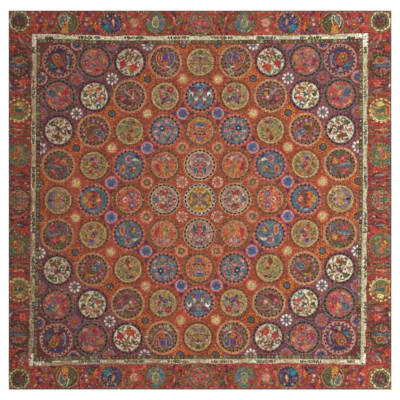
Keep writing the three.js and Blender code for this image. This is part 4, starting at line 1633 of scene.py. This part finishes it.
def first_level_garden(m):
    m.leaf("scarlet", (-1.02, 1.0), (-1.06, -0.6), 0.3)
    m.leaf("scarlet", (-1.2, -0.6), (-0.6, -0.9), 0.3)
    m.leaf("crimson", (0.3, 1.0), (0.7, 0.8), 0.24)
    m.leaf("scarlet", (0.5, 0.5), (0.72, 0.2), 0.2)
    m.leaf("salmon", (-0.8, 1.0), (-0.74, 0.62), 0.2)
    m.leaf("salmon", (-0.76, -0.1), (-0.5, -0.46), 0.2)
    m.oval("plum", -0.4, 0.2, 0.42, 0.36)
    m.flower("mauve", -0.27, 0.26, 0.3, eye="lilac", petals=6)
    m.leaf("moss", (0.0, 0.56), (0.6, 0.3), 0.24)
    m.flower("rust", 0.25, -0.18, 0.34, eye="orange", petals=8, depth=0.8)
    m.leaf("olive", (-0.1, -0.6), (0.4, -0.74), 0.2)
    m.leaf("pink", (0.94, 0.3), (0.9, -0.26), 0.16)
    m.leaf("pink", (1.04, 0.8), (1.12, 0.46), 0.14)
    m.dots("lilac", 0.07, (-0.27, 0.26), (0.3, -0.86))


def second_level_garden(m):
    m.leaf("scarlet", (-0.9, 1.1), (-0.78, 0.4), 0.34)
    m.leaf("magenta", (0.0, 1.0), (0.7, 0.9), 0.26)
    m.leaf("purple", (-0.2, 0.9), (0.1, 0.6), 0.26)
    m.leaf("magenta", (-1.0, -0.9), (-0.3, -0.5), 0.36)
    m.leaf("scarlet", (-1.0, -0.5), (-0.7, -0.9), 0.24)
    m.leaf("purple", (-0.7, -1.16), (-0.2, -0.9), 0.26)
    m.leaf("orange", (0.5, 0.1), (0.66, -0.9), 0.36)
    m.leaf("rust", (0.3, 0.5), (0.7, 0.3), 0.26)
    m.oval("teal", 0.02, -0.66, 0.22, 0.2, 20)
    m.oval("moss", 0.1, -0.5, 0.12, 0.1)
    m.leaf("sage", (-0.5, 0.4), (0.0, 0.5), 0.26)
    m.oval("cream", -0.28, 0.3, 0.12, 0.1)
    m.flower("pink", -0.38, -0.16, 0.24, eye="ivory", petals=6)
    m.dots("pink", 0.08, (-0.96, 0.3), (-1.0, -0.1), (-0.9, 0.0))
    m.dots("olive", 0.08, (0.2, 0.1), (0.1, -0.2))


def third_level_garden(m):
    m.leaf("scarlet", (-0.9, 0.1), (-0.6, -0.5), 0.3)
    m.leaf("scarlet", (0.6, 0.6), (0.7, -0.4), 0.3)
    m.leaf("crimson", (-0.2, 1.1), (0.6, 0.9), 0.2)
    m.leaf("purple", (-0.9, 0.5), (-0.66, 0.2), 0.2)
    m.leaf("mauve", (-0.76, 0.6), (-0.26, 0.66), 0.3)
    m.leaf("grey", (-0.6, 0.66), (-0.3, 0.66), 0.1)
    m.flower("salmon", 0.06, 0, 0.5, petals=9, depth=0.84)
    m.flower("shell", 0.06, 0.04, 0.34, eye="amber", petals=7, depth=0.7)
    m.flower("coral", -0.07, -0.74, 0.3, eye="shell", petals=7)
    m.leaf("moss", (0.3, -0.5), (0.6, -0.8), 0.2)
    m.dots("magenta", 0.09, (-0.4, -0.6), (0.5, 0.5))


def fourth_level_garden(m):
    m.leaf("scarlet", (-1.1, 1.1), (-0.7, 0.8), 0.34)
    m.leaf("crimson", (-0.1, 1.1), (0.6, 1.0), 0.26)
    m.leaf("coral", (-0.6, 0.9), (-0.3, -0.4), 0.26)
    m.leaf("pink", (-0.4, 0.7), (-0.36, 0.1), 0.12)
    m.leaf("moss", (0.06, 0.1), (0.56, 0.3), 0.26)
    m.leaf("sage", (0.2, 0.12), (0.5, 0.2), 0.1)
    m.leaf("leaf", (-0.2, -0.3), (0.3, -0.26), 0.2)
    m.leaf("purple", (-0.7, -0.9), (-0.3, -0.6), 0.24)
    m.oval("magenta", -0.17, -0.94, 0.22, 0.14, 10)
    m.leaf("coral", (0.8, -0.2), (0.84, -0.9), 0.2)
    m.leaf("scarlet", (0.36, -0.3), (0.6, -0.8), 0.22)
    m.leaf("rose", (0.8, 0.9), (0.7, 0.4), 0.2)


def first_upright_garden(m):
    m.leaf("scarlet", (-1.0, 1.1), (-0.8, 0.5), 0.3)
    m.leaf("scarlet", (0.3, 1.1), (0.56, 0.4), 0.32)
    m.leaf("umber", (-0.5, 1.1), (0.0, 0.8), 0.26)
    m.leaf("crimson", (-1.1, -0.6), (-0.6, -0.9), 0.34)
    m.leaf("magenta", (0.6, -0.3), (0.7, -0.9), 0.24)
    m.leaf("pewter", (-0.1, 0.0), (0.5, -0.6), 0.32)
    m.leaf("brown", (0.0, 0.3), (0.4, 0.0), 0.26)
    m.leaf("grey", (-0.62, 0.24), (0.02, -0.24), 0.24, 0.04)
    m.leaf("sage", (-0.5, 0.02), (0.06, -0.36), 0.12)
    m.leaf("rose", (-0.6, -0.5), (-0.2, -0.74), 0.2)
    m.dots("coral", 0.1, (-0.3, 0.5), (-0.7, 0.2), (0.9, 0.2))


def second_upright_garden(m):
    m.leaf("purple", (-0.9, 1.1), (-0.6, 0.6), 0.4)
    m.leaf("purple", (0.3, 1.1), (0.0, 0.6), 0.36)
    m.leaf("sage", (-0.5, 1.2), (0.0, 1.0), 0.4)
    m.leaf("ivory", (-0.46, 1.16), (-0.16, 1.06), 0.2)
    m.leaf("scarlet", (0.5, 1.1), (0.66, 0.2), 0.26)
    m.flower("coral", -0.5, -0.2, 0.44, eye="scarlet", petals=6)
    m.leaf("orange", (-0.66, 0.2), (-0.5, -0.1), 0.2)
    m.leaf("mauve", (0.16, 0.4), (0.2, -0.6), 0.26, 0)
    m.leaf("grey", (0.18, 0.2), (0.22, -0.3), 0.12, 0)
    m.leaf("rose", (0.36, 0.1), (0.56, -0.5), 0.2)
    m.leaf("plum", (-0.1, -0.8), (0.4, -0.9), 0.34)
    m.leaf("crimson", (-1.0, -0.8), (-0.4, -1.1), 0.3)
    m.dots("pewter", 0.08, (0.1, -1.0), (-0.2, 0.4))


def third_upright_garden(m):
    m.leaf("crimson", (0.5, 1.1), (0.8, 0.2), 0.3)
    m.leaf("scarlet", (-0.9, 0.6), (-0.7, -0.6), 0.3)
    m.leaf("salmon", (-0.5, 0.9), (-0.3, -0.5), 0.2)
    m.leaf("coral", (-0.3, 0.8), (-0.16, 0.1), 0.14)
    m.leaf("olive", (0.16, 0.9), (0.1, -0.6), 0.26)
    m.leaf("pewter", (0.1, 1.1), (0.3, 0.5), 0.2)
    m.leaf("scarlet", (0.4, 0.1), (0.6, -0.8), 0.26)
    m.leaf("crimson", (0.8, -0.3), (0.96, -0.9), 0.26)
    m.leaf("rust", (-0.4, -0.5), (0.2, -0.9), 0.26)
    m.dots("sage", 0.07, (-0.1, -0.2), (0.0, 0.5), (-0.1, -0.8))


def fourth_upright_garden(m):
    m.leaf("crimson", (-1.06, 1.0), (-0.7, 0.3), 0.3)
    m.oval("scarlet", -0.94, -0.5, 0.26, 0.34, 10)
    m.leaf("pewter", (-0.3, 0.84), (-0.3, -0.4), 0.3, 0.05)
    m.leaf("grey", (-0.3, 0.6), (-0.3, 0.0), 0.14, 0.05)
    m.leaf("coral", (0.5, 1.0), (0.56, 0.3), 0.16)
    m.leaf("coral", (0.7, 0.8), (0.8, 0.2), 0.14)
    m.leaf("scarlet", (0.0, 0.8), (0.24, 0.0), 0.2)
    m.leaf("maroon", (0.0, -0.2), (0.2, -0.9), 0.3)
    m.leaf("salmon", (0.5, -0.3), (0.66, -0.8), 0.16)
    m.leaf("dusty_red", (-0.6, -0.7), (-0.2, -1.0), 0.24)


# From the corner to the side's middle
SIDE_ROUNDELS = {
    "level": (flame_roundel, night_roundel, teal_roundel, rose_roundel),
    "upright": (umber_roundel, gold_roundel, emerald_roundel, clay_roundel),
}
SIDE_GARDENS = {
    "level": (first_level_garden, second_level_garden, third_level_garden, fourth_level_garden),
    "upright": (first_upright_garden, second_upright_garden, third_upright_garden, fourth_upright_garden),
}
# How each side lies, and where a point of its drawing is on the cloth
SIDES = {
    "top": ("level", lambda x, y: (x, HALF_LENGTH + y)),
    "bottom": ("level", lambda x, y: (x, -HALF_LENGTH - y)),
    "left": ("upright", lambda x, y: (-HALF_WIDTH - y, -x)),
    "right": ("upright", lambda x, y: (HALF_WIDTH + y, -x)),
}
BAND_YARNS = {
    "level": (
        "brick", "crimson", "maroon", "rust", "dusty_red", "crimson", "maroon", "brick", "scarlet", "plum",
        "brown", "olive", "wine", "coral",
    ),
    "upright": (
        "brick", "crimson", "maroon", "rust", "dusty_red", "brown", "maroon", "umber", "scarlet", "plum",
        "brown", "olive", "wine", "maroon",
    ),
}

# Each guard strip's ground, how far its middle is from the cloth's edge, and the yarns of its leaves
GUARDS = {
    "top": ("milk", 0.071, ("umber", "moss", "olive", "pine", "brown", "umber", "mauve")),
    "bottom": ("oat", 0.073, ("bronze", "moss", "sage", "olive", "brown", "tan", "mauve")),
    "left": ("oat", 0.0645, ("umber", "moss", "pine", "sage", "brown", "pewter", "umber")),
    "right": ("cream", 0.068, ("umber", "olive", "sage", "brown", "tan", "mauve", "moss")),
}
GUARD_PALE = {"level": "ivory", "upright": "cream"}
GUARD_ACCENTS = ("moss", "steel", "teal", "olive")
GUARD_YARNS = ("ivory", "cream", "ivory", "umber", "cream", "sage", "ivory")


def roundel_places(lie):
    """From the corner's roundel to the one at the middle of the side, measured from that middle."""
    places = [-k * BORDER_PITCH[lie] for k in range(4)]
    return [CORNER_DEPTH - HALF_SIDE[lie]] + places[::-1]


def strewn(drawing, yarns, area, pitch, petal):
    """Petals of many yarns over an area, all leaning about the same way.

    area: (left, right, low, high). petal: (length, width, the angles that it lies between).
    """
    left, right, low, high = area
    long, wide, turns = petal
    rows, columns = round((high - low) / pitch), round((right - left) / pitch)
    for row in range(rows):
        for column in range(columns):
            x = left + (column + 0.5 + drawing.random.uniform(-0.3, 0.3)) * pitch
            y = low + (row + 0.5 + drawing.random.uniform(-0.3, 0.3)) * pitch
            turn = drawing.random.uniform(*turns)
            size = drawing.random.uniform(0.7, 1.2)
            yarn = drawing.random.choice(yarns)
            drawing.oval(yarn, x, y, long * size, wide * size, turn, 6, PETAL_FLECKS)


def draw_border(lie):
    border = Drawing(7 if lie == "level" else 8)
    half = HALF_SIDE[lie]
    strewn(border, BAND_YARNS[lie], (-half, 0, -BAND_DEPTH, 0), PETAL_PITCH, PETALS[lie])
    places = roundel_places(lie)
    for k, garden in enumerate(SIDE_GARDENS[lie]):
        middle = (places[k] + places[k + 1]) / 2
        border.stamp(made(garden, k), middle, -BAND_DEPTH / 2, GARDEN_UNIT)
    border.stamp(made(corner_roundel, 9), places[0], -CORNER_DEPTH, BORDER_UNIT)
    for k, roundel in enumerate(SIDE_ROUNDELS[lie][:-1]):
        border.stamp(made(roundel, k), places[k + 1], -BORDER_DEPTH[lie], BORDER_UNIT)
    border.mirror()
    border.stamp(made(SIDE_ROUNDELS[lie][-1], 5), 0, -BORDER_DEPTH[lie], BORDER_UNIT)
    # A dark umber band along the outer edge: the hem's yarn, and painted shade of its rolled edge
    border.add("umber", [(-half, -HEM_LINE), (half, -HEM_LINE), (half, 0), (-half, 0)], HEM_SHADE_FLECKS)
    add_hem_stitches(border, half)
    return border


def draw_guard_leaf(guard, x, middle, dark):
    """A dark leaf across the guard, with an ivory bud beside its foot."""
    foot = x + guard.random.uniform(-LEAF_SHIFT, LEAF_SHIFT)
    y = middle + guard.random.choice((-1, 1)) * guard.random.uniform(*LEAF_REACH)
    tip_x = foot + guard.random.uniform(-LEAF_LEAN, LEAF_LEAN)
    tip_y = 2 * middle - y + guard.random.uniform(-LEAF_EXTRA, LEAF_EXTRA)
    guard.leaf(guard.random.choice(dark), (foot, y), (tip_x, tip_y), LEAF_WIDTH)
    guard.oval("ivory", foot + 0.0026, y, 0.0024, 0.0016, guard.random.uniform(0, 180), 5)


def draw_guard(lie, yarn, depth, dark):
    """A guard's side: pale patches by the roundels, and leaves and a flower between them."""
    guard = Drawing(17 if lie == "level" else 18)
    half = HALF_SIDE[lie]
    middle = -depth
    low, high = middle - GUARD_HALF, middle + GUARD_HALF
    guard.add(yarn, [(-half, low), (0, low), (0, high), (-half, high)], GUARD_FLECKS)
    places = roundel_places(lie)
    for k, accent in enumerate(GUARD_ACCENTS):
        x = (places[k] + places[k + 1]) / 2
        for way in (-1, 1):
            guard.oval(GUARD_PALE[lie], x + way * 0.034, middle, 0.013, 0.0028, 0, 8)
            guard.oval("tan", x + way * 0.037, middle + 0.005, 0.009, 0.0014, 0, 6)
        for step in range(-LEAVES_EACH_WAY, LEAVES_EACH_WAY + 1):
            draw_guard_leaf(guard, x + step * LEAF_PITCH, middle, dark)
        guard.flower("umber", x, middle, 0.005, eye="cream")
        guard.leaf(accent, (x + 0.012, middle), (x + 0.026, middle + 0.002), LEAF_WIDTH)
    guard.oval("ivory", places[0] + 0.045, middle, 0.024, 0.009, 0, 8)
    corner = (-half, places[0] + 0.06, low, high)
    strewn(guard, GUARD_YARNS, corner, GUARD_PETAL_PITCH, GUARD_PETAL)
    guard.mirror()
    return guard


# Thread: the hem's stitches, and the whipping that joins the strips

WHIP_PITCH = 0.0062
WHIP_LENGTH = 0.0016
WHIP_START = 0.001
WHIP_HALF_WIDTH = 0.00035
HEM_STITCH_PITCH = 0.007
HEM_STITCH_LENGTH = 0.0042
HEM_STITCH_DEPTH = 0.0042


def add_whipping(drawing, outline):
    """Slanting stitches over a piece's edge, wherever that's a seam and not the cloth's hem."""
    for start, end in directed_edges(outline):
        middle = mixed(start, end, 0.5)
        if HALF_WIDTH - abs(middle[0]) < HEM_LINE or HALF_LENGTH - abs(middle[1]) < HEM_LINE:
            continue
        count = max(1, round(math.dist(start, end) / WHIP_PITCH))
        along = ((end[0] - start[0]) / count, (end[1] - start[1]) / count)
        size = math.hypot(*along)
        u, v = along[0] / size, along[1] / size
        for step in range(count):
            x, y = start[0] + along[0] * (step + 0.5), start[1] + along[1] * (step + 0.5)
            x, y = x + v * WHIP_START, y - u * WHIP_START
            inner_x = x - v * (WHIP_START + WHIP_LENGTH) + u * WHIP_LENGTH * 0.4
            inner_y = y + u * (WHIP_START + WHIP_LENGTH) + v * WHIP_LENGTH * 0.4
            half = (u * WHIP_HALF_WIDTH, v * WHIP_HALF_WIDTH)
            stitch = [(x - half[0], y - half[1]), (x + half[0], y + half[1])]
            stitch += [(inner_x + half[0], inner_y + half[1]), (inner_x - half[0], inner_y - half[1])]
            drawing.add("brown", stitch, 0)


def add_hem_stitches(border, half):
    """Running stitches that hold the hem, along a border's outer edge."""
    for k in range(int(2 * half / HEM_STITCH_PITCH)):
        x = -half + (k + 0.5) * HEM_STITCH_PITCH
        ends = (x - HEM_STITCH_LENGTH / 2, x + HEM_STITCH_LENGTH / 2)
        low, high = -HEM_STITCH_DEPTH - WHIP_HALF_WIDTH, -HEM_STITCH_DEPTH + WHIP_HALF_WIDTH
        border.add("tan", [(ends[0], low), (ends[1], low), (ends[1], high), (ends[0], high)], 0)


# Woven material

# Flecks of other yarns: (the place on a scale from 0 to 1 at which its flecks start, yarn)
FLECKS = (
    (0.0, "umber"), (0.2, "crimson"), (0.36, "brown"), (0.5, "sage"), (0.6, "salmon"), (0.72, "cream"),
    (0.84, "slate"), (0.93, "amber"),
)
FLECK_SIZE = 0.0034
FLECK_STRENGTH = 0.5
KNOT_SIZE = 0.0024
RIB_SIZE = 0.0013
WORN_SCALE = 14.0

# How dark and light each of them makes the yarn
FLECK_LIGHT = (0.64, 1.36)
FLECK_EDGE_LIGHT = (0.74, 1.06)
KNOT_LIGHT = (0.78, 1.2)
WORN_LIGHT = (0.86, 1.14)
RIB_LIGHT = (0.92, 1.06)
ROUGHNESS = (0.74, 0.95)
RELIEF = 0.00016


class Weave:
    """Builds a material's nodes."""

    def __init__(self, name):
        self.material = bpy.data.materials.new(name)
        self.material.use_nodes = True
        self.nodes = self.material.node_tree.nodes
        self.links = self.material.node_tree.links

    def node(self, kind, settings=None, **inputs):
        made_node = self.nodes.new("ShaderNode" + kind)
        for name, value in (settings or {}).items():
            setattr(made_node, name, value)
        for name, value in inputs.items():
            self.set(made_node, name.replace("_", " "), value)
        return made_node

    def set(self, node, name, value):
        socket = node.inputs[int(name)] if name.isdigit() else node.inputs[name]
        if isinstance(value, bpy.types.NodeSocket):
            self.links.new(value, socket)
        else:
            socket.default_value = value

    def maths(self, operation, a, b):
        made_node = self.node("Math", {"operation": operation})
        self.set(made_node, "0", a)
        self.set(made_node, "1", b)
        return made_node.outputs[0]

    def ranged(self, value, low, high):
        """A value from 0 to 1, moved to the range from low to high."""
        made_node = self.node("MapRange", Value=value, To_Min=low, To_Max=high)
        return made_node.outputs["Result"]

    def times(self, colour, factor):
        made_node = self.node("VectorMath", {"operation": "SCALE"}, Scale=factor)
        self.set(made_node, "0", colour)
        return made_node.outputs[0]

    def mix(self, share, a, b):
        made_node = self.node("Mix", {"data_type": "RGBA"})
        self.set(made_node, "0", share)
        self.set(made_node, "6", a)
        self.set(made_node, "7", b)
        return made_node.outputs[2]


def woven_material(name):
    weave = Weave(name)
    shader = weave.nodes["Principled BSDF"]
    place = weave.node("TexCoord").outputs["Object"]
    yarn = weave.node("Attribute", {"attribute_name": "yarn"})
    busy = yarn.outputs["Alpha"]
    cells = weave.node("TexVoronoi", Vector=place, Scale=1 / FLECK_SIZE)
    random_parts = weave.node("SeparateColor", Color=cells.outputs["Color"])
    choice, chance, light = (random_parts.outputs[k] for k in range(3))
    palette = weave.node("ValToRGB", Fac=choice)
    palette.color_ramp.interpolation = "CONSTANT"
    stops = palette.color_ramp.elements
    while len(stops) < len(FLECKS):
        stops.new(0.5)
    for stop, (position, fleck) in zip(stops, FLECKS):
        stop.position = position
        stop.color = (*yarn_colour(fleck, 1), 1)
    often = weave.ranged(busy, 0.98, 0.66)
    chosen = weave.maths("GREATER_THAN", chance, often)
    strength = weave.maths("MULTIPLY", chosen, FLECK_STRENGTH)
    colour = weave.mix(strength, yarn.outputs["Color"], palette.outputs["Color"])
    colour = weave.times(colour, weave.ranged(light, *FLECK_LIGHT))
    edges = weave.node("TexVoronoi", {"feature": "DISTANCE_TO_EDGE"}, Vector=place, Scale=1 / FLECK_SIZE)
    dark, plain = FLECK_EDGE_LIGHT
    distance = edges.outputs["Distance"]
    lines = weave.node("MapRange", Value=distance, From_Max=0.16, To_Min=dark, To_Max=plain)
    colour = weave.times(colour, lines.outputs["Result"])
    knots = weave.node("TexVoronoi", Vector=place, Scale=1 / KNOT_SIZE)
    knot_parts = weave.node("SeparateColor", Color=knots.outputs["Color"])
    colour = weave.times(colour, weave.ranged(knot_parts.outputs[0], *KNOT_LIGHT))
    worn = weave.node("TexNoise", Vector=place, Scale=WORN_SCALE, Detail=4.0)
    colour = weave.times(colour, weave.ranged(worn.outputs["Fac"], *WORN_LIGHT))
    ribs = weave.node(
        "TexWave", {"bands_direction": "DIAGONAL"}, Vector=place, Scale=0.314 / RIB_SIZE, Distortion=1.2,
        Detail=1.0,
    )
    rib = ribs.outputs["Fac"]
    colour = weave.times(colour, weave.ranged(rib, *RIB_LIGHT))
    weave.set(shader, "Base Color", colour)
    weave.set(shader, "Roughness", weave.ranged(knot_parts.outputs[1], *ROUGHNESS))
    shader.inputs["Specular IOR Level"].default_value = 0.2
    shader.inputs["Sheen Weight"].default_value = 0.1
    shader.inputs["Sheen Roughness"].default_value = 0.45
    height = weave.maths("ADD", rib, weave.maths("MULTIPLY", knot_parts.outputs[0], 0.8))
    bump = weave.node("Bump", Height=height, Distance=RELIEF, Strength=0.8)
    weave.set(shader, "Normal", bump.outputs["Normal"])
    return weave.material


materials = {slot: woven_material(slot) for slot in BACKS}


def draw_strip(name):
    """The drawing of a guard or border strip, laid on its side of the cloth."""
    kind, where = name.split("_")
    lie, place = SIDES[where]
    strip = Drawing()
    strip.lay(draw_border(lie) if kind == "border" else draw_guard(lie, *GUARDS[where]), place)
    return strip


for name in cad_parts:
    outline = node_outline(name)
    slot = name.split("_")[0] + "_cloth"
    inner = inset(outline, EDGE_ROUND)
    drawing = draw_field(inner) if slot == "field_cloth" else draw_strip(name)
    if slot == "guard_cloth":
        add_whipping(drawing, inner)
    cloth_piece(name, drawing, outline, materials[slot], slot)


# Floor, light and camera

FLOOR_REACH = 60
FLOOR_DROP = 0.0002
SKY_STRENGTH = 0.62
SUN_STRENGTH = 2.3
SUN_SOFTNESS = 40
SUN_LEAN = (-28, -20)
LENS = 85
PHOTO_WIDTH = 400
CLOTH_WIDTH_IN_PHOTO = 382.5


def add_floor():
    mesh = bpy.data.meshes.new("floor")
    corners = [(x * FLOOR_REACH, y * FLOOR_REACH, 0) for x, y in ((-1, -1), (1, -1), (1, 1), (-1, 1))]
    mesh.from_pydata(corners, [], [(0, 1, 2, 3)])
    material = bpy.data.materials.new("floor")
    material.use_nodes = True
    shader = material.node_tree.nodes["Principled BSDF"]
    shader.inputs["Base Color"].default_value = (0.9, 0.9, 0.9, 1)
    shader.inputs["Roughness"].default_value = 0.9
    mesh.materials.append(material)
    floor = bpy.data.objects.new("floor", mesh)
    floor.location.z = -FLOOR_DROP
    bpy.context.collection.objects.link(floor)


def add_light():
    world = bpy.data.worlds.new("studio")
    world.use_nodes = True
    background = world.node_tree.nodes["Background"]
    background.inputs["Color"].default_value = (1, 1, 1, 1)
    background.inputs["Strength"].default_value = SKY_STRENGTH
    bpy.context.scene.world = world
    sun = bpy.data.lights.new("softbox", "SUN")
    sun.energy = SUN_STRENGTH
    sun.angle = math.radians(SUN_SOFTNESS)
    lamp = bpy.data.objects.new("softbox", sun)
    lamp.rotation_euler = (math.radians(SUN_LEAN[0]), math.radians(SUN_LEAN[1]), 0)
    bpy.context.collection.objects.link(lamp)


def add_camera():
    """A camera straight above, from which the cloth is as wide as in the photo."""
    data = bpy.data.cameras.new("camera")
    data.lens = LENS
    camera = bpy.data.objects.new("camera", data)
    view_width = (cad_high.x - cad_low.x) * PHOTO_WIDTH / CLOTH_WIDTH_IN_PHOTO
    camera.location = (0, 0, THICKNESS + view_width * data.lens / data.sensor_width)
    bpy.context.collection.objects.link(camera)
    bpy.context.scene.camera = camera


add_floor()
add_light()
add_camera()
bpy.context.scene.view_settings.view_transform = "Standard"
